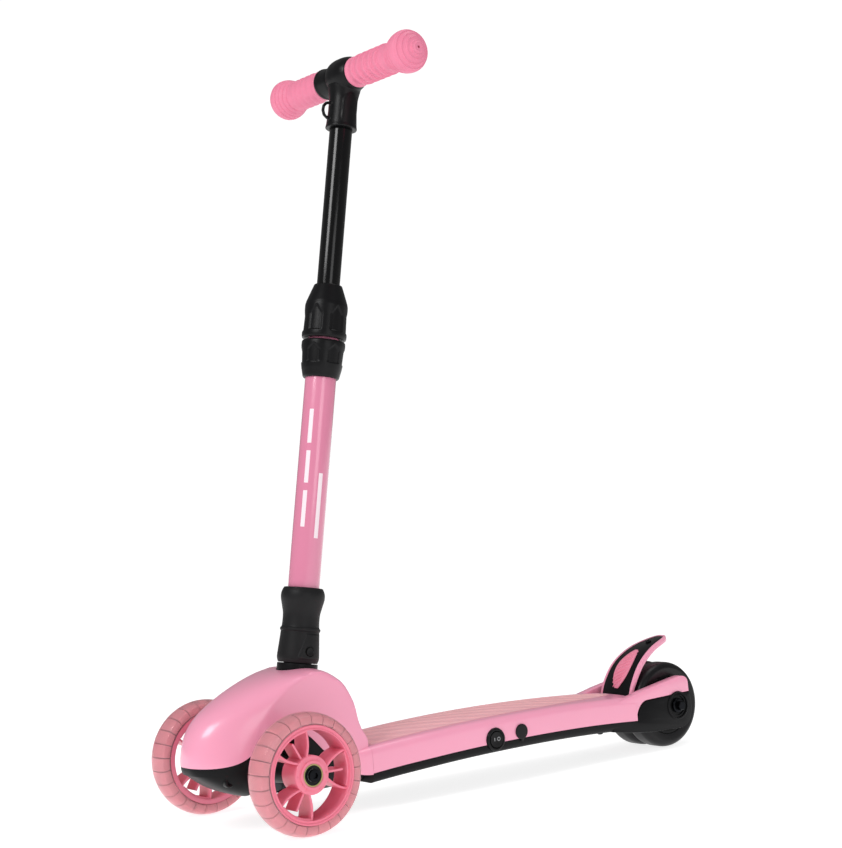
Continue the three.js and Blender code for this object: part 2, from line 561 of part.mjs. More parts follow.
function buildStem() {
  const sleeve = turnZ([[16.9, 56.9], [20.8, 56.9], [21.9, 62], [20, 90], [20.6, 92.6], [19.4, 96],
    [19.2, 106], [22.8, 123], [22.4, 130], [20.4, 134.6], [16.9, 134.6]]);
  const buttonHole = rodY(4.8, 10, 30).translate(0, 0, BUTTON_S);
  add('base_sleeve', cut(sleeve, buttonHole), 'blackRubber', stemFrame);
  add('release_button', rodY(4.5, 18.4, 23, 20), 'blackPlastic', stemFrame, [0, 0, BUTTON_S]);
  add('lower_tube', turnZ(ring(14.95, 16.5, 57.2, 430)), 'pinkGloss', stemFrame);
  add('collar_lower', turnZ([[16.8, 355.6], [19, 355.6], [21.4, 366], [22.3, 372], [23.3, 393], [22.6, 395.7],
    [16.8, 395.7]]), 'blackPlastic', stemFrame);
  add('collet', turnZ(ring(12.7, 16.4, 430.4, 440), 28), 'blackPlastic', stemFrame);
  add('collar_nut', turnZ([[16.8, 398.1], [23.6, 398.1], [23.9, 401], [22.8, 434], [22, 437.5], [15.4, 456.7],
    [12.8, 456.7], [12.8, 444], [16.8, 441]]), 'blackPlastic', stemFrame);
  add('upper_tube', turnZ(ring(10.9, 12.3, 276, 664)), 'blackPaint', stemFrame);
  add('guide_bush', turnZ(ring(12.5, 14.6, 278, 298), 28), 'blackPlastic', stemFrame);
}

function tHead() {
  const neck = turnZ([[0, 629.5], [17.4, 629.5], [16.6, 634], [15.6, 648], [15.6, 664], [18, 676], [0, 690]]);
  const bulb = turnY([[0, -17], [14.5, -17], [18.6, -12.5], [20.3, -5], [20.3, 8], [19, 15], [16.8, 19.5],
    [15, 21.4], [0, 21.4]]).translate(0, 0, BAR_S);
  const sleeve = turnY([[0, -38], [16.2, -38], [17.2, -37], [17.2, -34.4], [16.4, -33], [15.6, -20], [14.4, -16],
    [0, -16]]).translate(0, 0, BAR_S);
  const loopPath = new THREE.CatmullRomCurve3([[14, 655], [20, 655.5], [24, 651], [25, 645.5], [23, 640.5],
    [19, 638], [14, 638.5]].map(([x, z]) => new THREE.Vector3(x, 0, z)));
  const wire = new THREE.Shape().absarc(0, 0, 1.7, 0, Math.PI * 2);
  const loop = new THREE.ExtrudeGeometry(wire, { steps: 10, curveSegments: 3, extrudePath: loopPath });
  const bores = [rodZ(12.6, 600, 668), rodY(11.3, -60, 60).translate(0, 0, BAR_S)];
  return cut(join(neck, bulb, sleeve, loop), ...bores);
}

// Grip: a soft sleeve with a bead at its inner end and a mushroom end with an air hole.
function grip(inner) {
  const bore = 11.3;
  const profile = [[bore, inner], [16.6, inner], [16.9, inner + 3], [15.3, inner + 6]];
  profile.push([15.7, 92], [18, 99], [21.4, 108], [22.6, 115], [21.6, 121], [17, 126], [9.6, 131.5], [5, 135],
    [1.3, 135], [1.3, 124], [bore, 124]);
  return turnY(profile, 24);
}

function buildHandlebar() {
  add('t_head', tHead(), 'blackPlastic', stemFrame);
  add('handlebar_tube', turnY(ring(9.4, 11, -122, 122)), 'steel', stemFrame, [0, 0, BAR_S]);
  add('grip_left', grip(22), 'pinkRubber', stemFrame, [0, 0, BAR_S]);
  add('grip_right', grip(38.6).scale(1, -1, 1), 'pinkRubber', stemFrame, [0, 0, BAR_S]);
}

buildDeck();
buildFront();
buildTruck();
buildWheels();
buildBrake();
buildSide();
buildStem();
buildHandlebar();

const group = new THREE.Group();
group.add(scooter);
export default group;
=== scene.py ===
"""Visual model of a child's three-wheeled kick scooter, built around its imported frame."""

import logging
import math
from bisect import bisect_right
from dataclasses import dataclass, field
from enum import Enum
from typing import Callable, Sequence

import bmesh
import bpy
from mathutils import Matrix, Vector


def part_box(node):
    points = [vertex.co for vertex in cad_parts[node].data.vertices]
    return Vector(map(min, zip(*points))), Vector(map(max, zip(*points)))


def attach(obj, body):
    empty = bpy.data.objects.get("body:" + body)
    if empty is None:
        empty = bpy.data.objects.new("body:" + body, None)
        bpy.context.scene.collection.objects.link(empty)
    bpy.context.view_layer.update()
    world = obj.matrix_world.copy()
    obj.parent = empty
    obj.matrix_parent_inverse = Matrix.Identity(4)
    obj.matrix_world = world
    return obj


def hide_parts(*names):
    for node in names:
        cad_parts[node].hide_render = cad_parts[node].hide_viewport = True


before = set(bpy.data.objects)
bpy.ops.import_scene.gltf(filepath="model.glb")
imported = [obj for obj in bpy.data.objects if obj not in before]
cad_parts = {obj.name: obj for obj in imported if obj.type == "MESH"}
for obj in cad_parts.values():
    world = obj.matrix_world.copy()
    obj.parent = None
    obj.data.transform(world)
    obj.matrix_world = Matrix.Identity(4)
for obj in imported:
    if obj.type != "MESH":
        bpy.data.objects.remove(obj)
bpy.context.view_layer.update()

log = logging.getLogger("scooter")
MM = 0.001
Pair = tuple[float, float]
Triple = tuple[float, float, float]


def node_centre(node: str) -> Vector:
    """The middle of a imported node's box, in millimetres.

    Args:
        node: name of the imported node.

    Returns:
        The centre of its box.
    """
    low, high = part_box(node)
    return (Vector(low) + Vector(high)) * 0.5 / MM


AXLE = node_centre("front_tyre_left")
HOME = Matrix.Translation((AXLE.x, 0.0, 0.0))


def spot(x: float, y: float, z: float) -> Matrix:
    """A place on the scooter, in millimetres from the ground under the front axle."""
    return HOME @ Matrix.Translation((x, y, z))


RAKE = math.radians(10.0)
KINGPIN_TILT = math.radians(40.0)
BAR_S = 689.0
FRONT_WHEEL_Y, FRONT_WHEEL_Z = 98.0, 60.0
REAR_AXLE_X, REAR_AXLE_Z = -557.0, 50.0
BRAKE_PIN_X, BRAKE_PIN_Z = -497.5, 60.0
DECK_ARCH, DECK_HALF, CROWN_FALL = 2.1e-4, 54.0, 3.0
PANEL_HALF, PANEL_TAPER_X, PANEL_TAPER, TAPER_POWER = 41.0, -250.0, 236.0, 2.2
CRISP, CRISP_HOUSING = 32.0, 38.0
STEM = spot(-51.0, 0.0, 100.0) @ Matrix.Rotation(-RAKE, 4, "Y")
KINGPIN = spot(0.0, 0.0, 66.0) @ Matrix.Rotation(math.pi / 2 - KINGPIN_TILT, 4, "Y")
TO_LEFT = Matrix.Rotation(-math.pi / 2, 4, "X")
TO_RIGHT = Matrix.Rotation(math.pi / 2, 4, "X")


class Side(Enum):
    """The two sides of the scooter, with the sign of Y on each."""

    LEFT = 1
    RIGHT = -1

    @property
    def word(self) -> str:
        """The side's name in lower case."""
        return self.name.lower()

    @property
    def outward(self) -> Matrix:
        """The turn that points a lathe's axis away from the scooter's middle."""
        return TO_LEFT if self is Side.LEFT else TO_RIGHT


# ---- Curves and outlines ---------------------------------------------------------------------

def clamp(value: float, low: float = 0.0, high: float = 1.0) -> float:
    """Value kept between low and high."""
    return max(low, min(high, value))


def smoothstep(value: float, low: float, high: float) -> float:
    """A soft step from 0 at low to 1 at high."""
    t = clamp((value - low) / (high - low))
    return t * t * (3.0 - 2.0 * t)


def steps(start: float, end: float, count: int) -> list[float]:
    """Evenly spaced numbers from start to end, both included."""
    return [start + (end - start) * i / (count - 1) for i in range(count)]


def bezier(a: Pair, control: Pair, b: Pair, count: int) -> list[Pair]:
    """Points of a curved corner from a to b.

    Args:
        a: first point.
        control: the point that the curve bends towards.
        b: last point.
        count: how many points, ends included.

    Returns:
        The points in order.
    """
    line = []
    for t in steps(0.0, 1.0, count):
        k = ((1 - t) ** 2, 2 * t * (1 - t), t * t)
        line.append(tuple(k[0] * a[i] + k[1] * control[i] + k[2] * b[i] for i in (0, 1)))
    return line


def rounded(outline: Sequence[Sequence[float]], radius: float, count: int = 4,
            closed: bool = True) -> list[Pair]:
    """An outline with its corners rounded off.

    Args:
        outline: the corners; a third number on one is that corner's own radius.
        radius: how far back from each corner the rounding starts.
        count: points on each rounded corner.
        closed: whether the last corner joins the first.

    Returns:
        The rounded outline.
    """
    result: list[Pair] = []
    n = len(outline)
    for i, corner in enumerate(outline):
        p = Vector(corner[:2])
        if not closed and i in (0, n - 1):
            result.append((p.x, p.y))
            continue
        a = Vector(outline[i - 1][:2]) - p
        b = Vector(outline[(i + 1) % n][:2]) - p
        reach = corner[2] if len(corner) > 2 else radius
        reach = min(reach, 0.45 * a.length, 0.45 * b.length)
        if reach < 1e-3 or a.angle(-b, 0.0) < math.radians(9.0):
            result.append((p.x, p.y))
            continue
        result += bezier(tuple(p + a.normalized() * reach), tuple(p),
                         tuple(p + b.normalized() * reach), count)
    return result


@dataclass(frozen=True)
class Spline:
    """A smooth line through its points."""

    points: tuple[Pair, ...]

    def at(self, t: float) -> Vector:
        """The point at t, from 0 at the start to 1 at the end.

        Args:
            t: place along the line, from 0 to 1.

        Returns:
            The point.
        """
        place = clamp(t) * (len(self.points) - 1)
        i = min(int(place), len(self.points) - 2)
        w = place - i
        p = [Vector(self.points[min(max(k, 0), len(self.points) - 1)])
             for k in (i - 1, i, i + 1, i + 2)]
        v0, v1 = (p[2] - p[0]) * 0.5, (p[3] - p[1]) * 0.5
        return ((2 * p[1] - 2 * p[2] + v0 + v1) * w ** 3
                + (-3 * p[1] + 3 * p[2] - 2 * v0 - v1) * w ** 2
                + v0 * w + p[1])

    def along(self, t: float) -> Vector:
        """The direction of the line at t."""
        return (self.at(min(t + 1e-3, 1.0)) - self.at(max(t - 1e-3, 0.0))).normalized()

    def height(self, x: float) -> float:
        """The second coordinate where the first one, which only falls, is x.

        Args:
            x: the first coordinate.

        Returns:
            The second coordinate.
        """
        low, high = 0.0, 1.0
        for _ in range(30):
            middle = (low + high) / 2
            low, high = (middle, high) if self.at(middle).x > x else (low, middle)
        return self.at((low + high) / 2).y

    def line(self, count: int) -> list[Pair]:
        """Count points along the line."""
        return [tuple(self.at(t)) for t in steps(0.0, 1.0, count)]


@dataclass(frozen=True)
class Table:
    """A line read off by its first number, which rises."""

    points: tuple[Pair, ...]

    @classmethod
    def of(cls, points: Sequence[Pair]) -> "Table":
        """The points put in rising order."""
        return cls(tuple(sorted(tuple(p) for p in points)))

    def at(self, value: float) -> float:
        """The second number where the first is value.

        Args:
            value: the first number.

        Returns:
            The second number.
        """
        k = int(clamp(bisect_right(self.points, (value, math.inf)), 1, len(self.points) - 1))
        (x0, y0), (x1, y1) = self.points[k - 1], self.points[k]
        return y0 + (y1 - y0) * clamp((value - x0) / max(x1 - x0, 1e-9))


# ---- Meshes ----------------------------------------------------------------------------------

@dataclass
class Solid:
    """Mesh data in millimetres."""

    points: list[Vector] = field(default_factory=list)
    faces: list[tuple[int, ...]] = field(default_factory=list)

    def placed(self, matrix: Matrix) -> "Solid":
        """A copy moved by matrix."""
        return Solid([matrix @ p for p in self.points], list(self.faces))

    def with_more(self, *others: "Solid") -> "Solid":
        """This solid and others as one.

        Args:
            others: the solids to add.

        Returns:
            The joined solid.
        """
        result = Solid(list(self.points), list(self.faces))
        for other in others:
            offset = len(result.points)
            result.points += other.points
            result.faces += [tuple(k + offset for k in face) for face in other.faces]
        return result


def loft(rings: Sequence[Sequence[Vector]], closed: bool = False) -> Solid:
    """Rings of equal length joined into one body.

    Args:
        rings: the sections in order.
        closed: whether the last section joins the first; if not, both ends are filled.

    Returns:
        The lofted solid.
    """
    n = len(rings[0])
    faces: list[tuple[int, ...]] = []
    for r in range(len(rings) if closed else len(rings) - 1):
        low, high = r * n, ((r + 1) % len(rings)) * n
        faces += [(low + i, low + (i + 1) % n, high + (i + 1) % n, high + i) for i in range(n)]
    if not closed:
        faces.append(tuple(reversed(range(n))))
        faces.append(tuple(range((len(rings) - 1) * n, len(rings) * n)))
    return Solid([p for ring in rings for p in ring], faces)


def lathe(profile: Sequence[Sequence[float]], segments: int = 96) -> Solid:
    """A profile of (radius, height) turned about Z.

    Args:
        profile: closed outline, or an open one whose two ends lie on the axis.
        segments: how many steps round.

    Returns:
        The turned solid.
    """
    if profile[0][0] > 0:
        turns = [2 * math.pi * k / segments for k in range(segments)]
        return loft([[Vector((r * math.cos(a), r * math.sin(a), h)) for r, h in profile]
                     for a in turns],
                    closed=True)
    middle = profile[1:-1]
    points = [Vector((r * math.cos(a), r * math.sin(a), h)) for r, h in middle
              for a in (2 * math.pi * k / segments for k in range(segments))]
    faces = [(r * segments + i, r * segments + (i + 1) % segments, (r + 1) * segments
              + (i + 1) % segments,
              (r + 1) * segments + i) for r in range(len(middle) - 1) for i in range(segments)]
    first, last = len(points), len(points) + 1
    points += [Vector((0, 0, profile[0][1])), Vector((0, 0, profile[-1][1]))]
    top = (len(middle) - 1) * segments
    faces += [(first, (i + 1) % segments, i) for i in range(segments)]
    faces += [(last, top + i, top + (i + 1) % segments) for i in range(segments)]
    return Solid(points, faces)


def turned(profile: Sequence[Sequence[float]], rounding: float = 0.6, segments: int = 96) -> Solid:
    """A lathe body whose edges are rounded off.

    Args:
        profile: corners of (radius, height), with an optional rounding of their own.
        rounding: how far back from each corner the rounding starts.
        segments: how many steps round.

    Returns:
        The turned solid.
    """
    return lathe(rounded(profile, rounding, closed=profile[0][0] > 0), segments)


def rod(radius: float, low: float, high: float, segments: int = 48) -> Solid:
    """A plain cylinder about Z, used to cut bores."""
    return lathe([(0, low), (radius, low), (radius, high), (0, high)], segments)


def tube(inner: float, outer: float, low: float, high: float, rounding: float,
         segments: int) -> Solid:
    """A ring about Z with softened edges, or a pin where inner is 0."""
    return turned([(inner, low), (outer, low), (outer, high), (inner, high)], rounding, segments)


def prism(outline: Sequence[Pair], y0: float, y1: float, edge: float = 0.5) -> Solid:
    """An outline in X and Z carried from y0 to y1, with softened edges.

    Args:
        outline: the shape.
        y0: first face.
        y1: last face.
        edge: size of the softened edge.

    Returns:
        The solid.
    """
    n = len(outline)
    area = sum(outline[i - 1][0] * outline[i][1] - outline[i][0] * outline[i - 1][1]
               for i in range(n))
    inward = 1.0 if area > 0 else -1.0
    normals = []
    for i in range(n):
        a = (Vector(outline[i]) - Vector(outline[i - 1])).normalized()
        b = (Vector(outline[(i + 1) % n]) - Vector(outline[i])).normalized()
        bisector = Vector((-(a + b).y, (a + b).x)).normalized() * inward
        normals.append(bisector / max(0.5, abs(bisector.dot(Vector((-a.y, a.x))))))
    rings = []
    for shrink, y in ((edge, y0), (edge * 0.3, y0 + edge * 0.3), (0, y0 + edge), (0, y1 - edge),
                      (edge * 0.3, y1 - edge * 0.3), (edge, y1)):
        rings.append([Vector((p[0] + m.x * shrink, y, p[1] + m.y * shrink))
                      for p, m in zip(outline, normals)])
    return loft(rings)


def both_sides(x: float, side: Sequence[Pair]) -> list[Vector]:
    """A section at x from its left half, as (y, z), and that half's mirror."""
    return ([Vector((x, y, z)) for y, z in side]
            + [Vector((x, -y, z)) for y, z in reversed(side)])


def band(inner: float, outer: float, angles: Sequence[float], height: float) -> list[Vector]:
    """One section of a curved sheet about Z, between two radii.

    Args:
        inner: the smaller radius.
        outer: the larger radius.
        angles: where its points lie round Z, in radians.
        height: height of the section.

    Returns:
        The section, as one closed ring.
    """
    return ([Vector((outer * math.cos(a), outer * math.sin(a), height)) for a in angles]
            + [Vector((inner * math.cos(a), inner * math.sin(a), height))
               for a in reversed(angles)])


def box_solid(low: Triple, high: Triple) -> Solid:
    """A plain block, used only to cut other bodies."""
    corners = [(low[0], low[2]), (high[0], low[2]), (high[0], high[2]), (low[0], high[2])]
    return loft([[Vector((x, y, z)) for x, z in corners] for y in (low[1], high[1])])


def make_object(name: str, body: Solid, sharp: float = CRISP) -> bpy.types.Object:
    """An object at the origin from a solid in millimetres.

    Args:
        name: the object's name.
        body: the mesh data.
        sharp: edges that bend by more than this many degrees stay crisp.

    Returns:
        The new object, linked to the scene.
    """
    mesh = bpy.data.meshes.new(name)
    mesh.from_pydata([p * MM for p in body.points], [], body.faces)
    made = bpy.data.objects.new(name, mesh)
    bpy.context.scene.collection.objects.link(made)
    settle(made, sharp)
    return made


def settle(made: bpy.types.Object, sharp: float = CRISP) -> None:
    """Welds a closed mesh, turns its faces outwards and shades it smooth between crisp edges.

    Args:
        made: the object.
        sharp: edges that bend by more than this many degrees stay crisp.
    """
    work = bmesh.new()
    work.from_mesh(made.data)
    bmesh.ops.remove_doubles(work, verts=work.verts, dist=1e-6)
    bmesh.ops.dissolve_degenerate(work, edges=work.edges, dist=1e-6)
    bmesh.ops.recalc_face_normals(work, faces=work.faces)
    work.to_mesh(made.data)
    work.free()
    made.data.polygons.foreach_set("use_smooth", [True] * len(made.data.polygons))
    made.data.set_sharp_from_angle(angle=math.radians(sharp))
    made.data.update()


def bake_modifiers(made: bpy.types.Object) -> None:
    """Turns an object's modifiers into its plain mesh and removes them.

    Args:
        made: the object to change.
    """
    graph = bpy.context.evaluated_depsgraph_get()
    graph.update()
    mesh = bpy.data.meshes.new_from_object(made.evaluated_get(graph))
    old = made.data
    made.modifiers.clear()
    made.data = mesh
    bpy.data.meshes.remove(old)
    mesh.name = made.name


def combine(made: bpy.types.Object, operation: str, others: Sequence[Solid],
            sharp: float = CRISP) -> None:
    """Cuts, joins or trims a body with others.

    Args:
        made: the object to change.
        operation: DIFFERENCE, UNION or INTERSECT.
        others: the solids to use.
        sharp: edges that bend by more than this many degrees stay crisp.
    """
    helpers = [make_object(f"{made.name}_tool", other) for other in others]
    for helper in helpers:
        modifier = made.modifiers.new(operation, "BOOLEAN")
        modifier.operation = operation
        modifier.solver = "EXACT"
        modifier.object = helper
    bake_modifiers(made)
    for helper in helpers:
        mesh = helper.data
        bpy.data.objects.remove(helper)
        bpy.data.meshes.remove(mesh)
    settle(made, sharp)


# ---- Node trees ------------------------------------------------------------------------------

@dataclass
class Value:
    """A socket that can be used in sums."""

    graph: "Graph"
    socket: bpy.types.NodeSocket

    def __add__(self, other: "Value | float") -> "Value":
        """Sum."""
        return self.graph.math("ADD", self, other)

    def __sub__(self, other: "Value | float") -> "Value":
        """Difference."""
        return self.graph.math("SUBTRACT", self, other)

    def __mul__(self, other: "Value | float") -> "Value":
        """Product."""
        return self.graph.math("MULTIPLY", self, other)

    def __truediv__(self, other: "Value | float") -> "Value":
        """Quotient."""
        return self.graph.math("DIVIDE", self, other)

    def __pow__(self, other: "Value | float") -> "Value":
        """Power."""
        return self.graph.math("POWER", self, other)


class Graph:
    """Builds one node tree."""

    def __init__(self, tree: bpy.types.NodeTree) -> None:
        """Starts on an empty tree.

        Args:
            tree: the tree to build in.
        """
        self.tree = tree
        self.given: bpy.types.Node | None = None
        self.result: bpy.types.Node | None = None

    def __getitem__(self, name: str) -> Value:
        """One of the group's own inputs."""
        return self.out(self.given, name)

    def add(self, kind: str, feeds: dict | None = None, **settings: object) -> bpy.types.Node:
        """Adds a node.

        Args:
            kind: the node's type.
            feeds: socket name or number to a value, socket or constant.
            settings: properties of the node.

        Returns:
            The node.
        """
        node = self.tree.nodes.new(kind)
        for key, value in settings.items():
            setattr(node, key, value)
        for key, value in (feeds or {}).items():
            self.feed(node.inputs[key], value)
        return node

    def feed(self, socket: bpy.types.NodeSocket, value: object) -> None:
        """Links a value to a socket, or sets the socket's constant.

        Args:
            socket: the socket to set.
            value: a value, a socket or a constant.
        """
        if isinstance(value, Value):
            self.tree.links.new(value.socket, socket)
        elif isinstance(value, bpy.types.NodeSocket):
            self.tree.links.new(value, socket)
        else:
            socket.default_value = value

    def math(self, operation: str, *terms: "Value | float", soft: bool = False) -> Value:
        """A sum on values.

        Args:
            operation: the kind of sum.
            terms: values or numbers.
            soft: whether the result is held between 0 and 1.

        Returns:
            The result.
        """
        node = self.add("ShaderNodeMath", dict(enumerate(terms)), operation=operation,
                        use_clamp=soft)
        return Value(self, node.outputs[0])

    def out(self, node: bpy.types.Node, name: str | int = 0) -> Value:
        """One of a node's outputs as a value."""
        return Value(self, node.outputs[name])

    def split(self, vector: object) -> tuple[Value, Value, Value]:
        """The three parts of a vector."""
        node = self.add("ShaderNodeSeparateXYZ", {0: vector})
        return tuple(self.out(node, axis) for axis in "XYZ")

    def merge(self, x: object, y: object, z: object) -> Value:
        """A vector from three parts."""
        return self.out(self.add("ShaderNodeCombineXYZ", {0: x, 1: y, 2: z}))

    def remap(self, value: object, low: float, high: float, new_low: float = 0.0,
              new_high: float = 1.0) -> Value:
        """A value carried from one range to another, with eased ends.

        Args:
            value: what to carry over.
            low: start of the old range.
            high: end of the old range.
            new_low: start of the new range.
            new_high: end of the new range.

        Returns:
            The new value.
        """
        feeds = {"Value": value, "From Min": low, "From Max": high, "To Min": new_low,
                 "To Max": new_high}
        return self.out(self.add("ShaderNodeMapRange", feeds, interpolation_type="SMOOTHSTEP"))

    def held(self, value: Value) -> Value:
        """A value held between 0 and 1."""
        return self.math("MULTIPLY", value, 1.0, soft=True)


def new_group(name: str, kind: str, inputs: dict[str, tuple[str, object]],
              outputs: dict[str, str]) -> Graph:
    """An empty node group with named sockets.

    Args:
        name: the group's name.
        kind: type of the tree.
        inputs: name to socket type and starting value.
        outputs: name to socket type.

    Returns:
        The graph, with its input and output nodes in place.
    """
    tree = bpy.data.node_groups.new(name, kind)
    for label, (socket_type, start) in inputs.items():
        socket = tree.interface.new_socket(label, in_out="INPUT", socket_type=socket_type)
        if start is not None:
            socket.default_value = start
    for label, socket_type in outputs.items():
        tree.interface.new_socket(label, in_out="OUTPUT", socket_type=socket_type)
    graph = Graph(tree)
    graph.given, graph.result = graph.add("NodeGroupInput"), graph.add("NodeGroupOutput")
    return graph


GEOMETRY, FLOAT, INTEGER, VECTOR, COLOUR, MATERIAL = (
    "NodeSocketGeometry", "NodeSocketFloat", "NodeSocketInt", "NodeSocketVector", "NodeSocketColor",
    "NodeSocketMaterial")


def apply_tree(made: bpy.types.Object, tree: bpy.types.NodeTree, **values: object) -> None:
    """Runs a geometry tree on an object and keeps the result as its plain mesh.

    Args:
        made: the object.
        tree: the geometry tree.
        values: the tree's inputs by name, with underscores for spaces.
    """
    modifier = made.modifiers.new(tree.name, "NODES")
    modifier.node_group = tree
    named = {item.name: item.identifier
             for item in tree.interface.items_tree if item.in_out == "INPUT"}
    for key, value in values.items():
        modifier[named[key.replace("_", " ")]] = value
    bake_modifiers(made)


class Patterns:
    """The geometry trees for what repeats."""

    def __init__(self) -> None:
        """Builds every tree once."""
        self.round = self._round()
        self.row = self._row()
        self.ribs = self._ribs()
        self.windows = self._windows()
        self.ripples = self._ripples()

    def _finish(self, graph: Graph, shape: object) -> None:
        """Ends a tree in Realize Instances and Set Material.

        Args:
            graph: the graph to end.
            shape: what the tree has made.
        """
        real = graph.add("GeometryNodeRealizeInstances", {0: shape})
        dressed = graph.add("GeometryNodeSetMaterial", {"Geometry": real.outputs[0],
                                                        "Material": graph["Material"]})
        graph.feed(graph.result.inputs[0], dressed.outputs[0])

    def _round(self) -> bpy.types.NodeTree:
        """Copies of a shape turned about an axis."""
        graph = new_group("repeat_round", "GeometryNodeTree", {
            "Shape": (GEOMETRY, None), "Count": (INTEGER, 6), "Centre": (VECTOR, (0, 0, 0)),
            "Axis": (VECTOR, (0, 1, 0)), "Turn": (FLOAT, 1.0), "Material": (MATERIAL, None)},
            {"Shape": GEOMETRY})
        back = graph.add("ShaderNodeVectorMath", {0: graph["Centre"], "Scale": -1.0},
                         operation="SCALE")
        moved = graph.add("GeometryNodeTransform", {"Geometry": graph["Shape"],
                                                    "Translation": back.outputs[0]})
        line = graph.add("GeometryNodeMeshLine", {"Count": graph["Count"],
                                                  "Start Location": graph["Centre"],
                                                  "Offset": (0, 0, 0)})
        index = graph.out(graph.add("GeometryNodeInputIndex"))
        turn = graph.add("FunctionNodeAxisAngleToRotation", {
            "Axis": graph["Axis"], "Angle": index * graph["Turn"]})
        copies = graph.add("GeometryNodeInstanceOnPoints", {
            "Points": line.outputs[0], "Instance": moved.outputs[0], "Rotation": turn.outputs[0]})
        self._finish(graph, copies.outputs[0])
        return graph.tree

    def _row(self) -> bpy.types.NodeTree:
        """Copies of a shape in a straight row."""
        graph = new_group("repeat_in_row", "GeometryNodeTree", {
            "Shape": (GEOMETRY, None), "Count": (INTEGER, 4), "Step": (VECTOR, (0.01, 0, 0)),
            "Material": (MATERIAL, None)}, {"Shape": GEOMETRY})
        line = graph.add("GeometryNodeMeshLine", {"Count": graph["Count"],
                                                  "Offset": graph["Step"]})
        copies = graph.add("GeometryNodeInstanceOnPoints", {
            "Points": line.outputs[0], "Instance": graph["Shape"]})
        self._finish(graph, copies.outputs[0])
        return graph.tree

    def _ribs(self) -> bpy.types.NodeTree:
        """Slanted overlapping ribs pushed out of a sleeve that runs along Y."""
        graph = new_group("shingle_ribs", "GeometryNodeTree", {
            "Shape": (GEOMETRY, None), "Centre": (VECTOR, (0, 0, 0)), "Pitch": (FLOAT, 0.011),
            "Depth": (FLOAT, 0.001), "Slant": (FLOAT, 0.003), "Start": (FLOAT, 0.04),
            "End": (FLOAT, 0.1),
            "Material": (MATERIAL, None)}, {"Shape": GEOMETRY})
        crest, fade, core_radius, tiny = 0.86, 0.0015, 0.0135, 1e-6
        place = graph.add("GeometryNodeInputPosition")
        offset = graph.add("ShaderNodeVectorMath", {0: place.outputs[0], 1: graph["Centre"]},
                           operation="SUBTRACT")
        x, y, z = graph.split(offset.outputs[0])
        radius = graph.math("SQRT", x * x + z * z)
        far = graph.math("ABSOLUTE", y)
        lean = graph.math("DIVIDE", x, graph.math("MAXIMUM", radius, tiny)) * graph["Slant"]
        cycle = graph.math("FRACT", (far - graph["Start"] + lean) / graph["Pitch"])
        rise = graph.remap(cycle, 0.0, crest)
        fall = graph.remap(cycle, crest, 1.0, 1.0, 0.0)
        inner = graph.held((far + lean - graph["Start"]) / fade)
        outer = graph.held((graph["End"] - far - lean) / fade)
        skin = graph.math("GREATER_THAN", radius, core_radius)
        push = graph.math("MULTIPLY", rise * fall, inner * outer) * skin * graph["Depth"]
        ratio = push / graph.math("MAXIMUM", radius, tiny)
        moved = graph.add("GeometryNodeSetPosition", {
            "Geometry": graph["Shape"], "Offset": graph.merge(x * ratio, 0.0, z * ratio)})
        self._finish(graph, moved.outputs[0])
        return graph.tree

    def _windows(self) -> bpy.types.NodeTree:
        """A ring of recessed windows with one pointed end, pressed into a turned body."""
        graph = new_group("pressed_windows", "GeometryNodeTree", {
            "Shape": (GEOMETRY, None), "Foot": (VECTOR, (0, 0, 0)), "Axis": (VECTOR, (0, 0, 1)),
            "Side": (VECTOR, (1, 0, 0)), "Count": (FLOAT, 6.0), "Low": (FLOAT, 0.0),
            "High": (FLOAT, 0.03),
            "Width": (FLOAT, 0.6), "Depth": (FLOAT, 0.001), "Skin": (FLOAT, 0.018),
            "Point": (FLOAT, 0.01),
            "Material": (MATERIAL, None)}, {"Shape": GEOMETRY})
        bevel, sill, tiny = 0.09, 0.0008, 1e-6
        place = graph.add("GeometryNodeInputPosition")
        offset = graph.add("ShaderNodeVectorMath", {0: place.outputs[0], 1: graph["Foot"]},
                           operation="SUBTRACT")

        def dot(a: object, b: object) -> Value:
            """How far a reaches along b."""
            node = graph.add("ShaderNodeVectorMath", {0: a, 1: b}, operation="DOT_PRODUCT")
            return graph.out(node, "Value")

        cross = graph.add("ShaderNodeVectorMath", {0: graph["Axis"], 1: graph["Side"]},
                          operation="CROSS_PRODUCT")
        high = dot(offset.outputs[0], graph["Axis"])
        across = dot(offset.outputs[0], graph["Side"])
        over = dot(offset.outputs[0], cross.outputs[0])
        radius = graph.math("SQRT", across * across + over * over)
        angle = graph.math("ARCTAN2", over, across) / (2 * math.pi) + 1.0
        cell = graph.math("ABSOLUTE", graph.math("FRACT", angle * graph["Count"]) - 0.5) * 2.0
        taper = graph.held((graph["High"] - high) / graph["Point"])
        edge = graph["Width"] * taper
        side_mask = graph.held((edge - cell) / bevel)
        low_mask = graph.held((high - graph["Low"]) / sill)
        skin = graph.math("GREATER_THAN", radius, graph["Skin"])
        push = graph.math("MULTIPLY", side_mask * low_mask, skin) * graph["Depth"]
        ratio = push / graph.math("MAXIMUM", radius, tiny) * -1.0
        one = graph.add("ShaderNodeVectorMath", {0: graph["Side"], "Scale": across * ratio},
                        operation="SCALE")
        two = graph.add("ShaderNodeVectorMath", {0: cross.outputs[0], "Scale": over * ratio},
                        operation="SCALE")
        both = graph.add("ShaderNodeVectorMath", {0: one.outputs[0], 1: two.outputs[0]})
        moved = graph.add("GeometryNodeSetPosition", {
            "Geometry": graph["Shape"], "Offset": both.outputs[0]})
        self._finish(graph, moved.outputs[0])
        return graph.tree

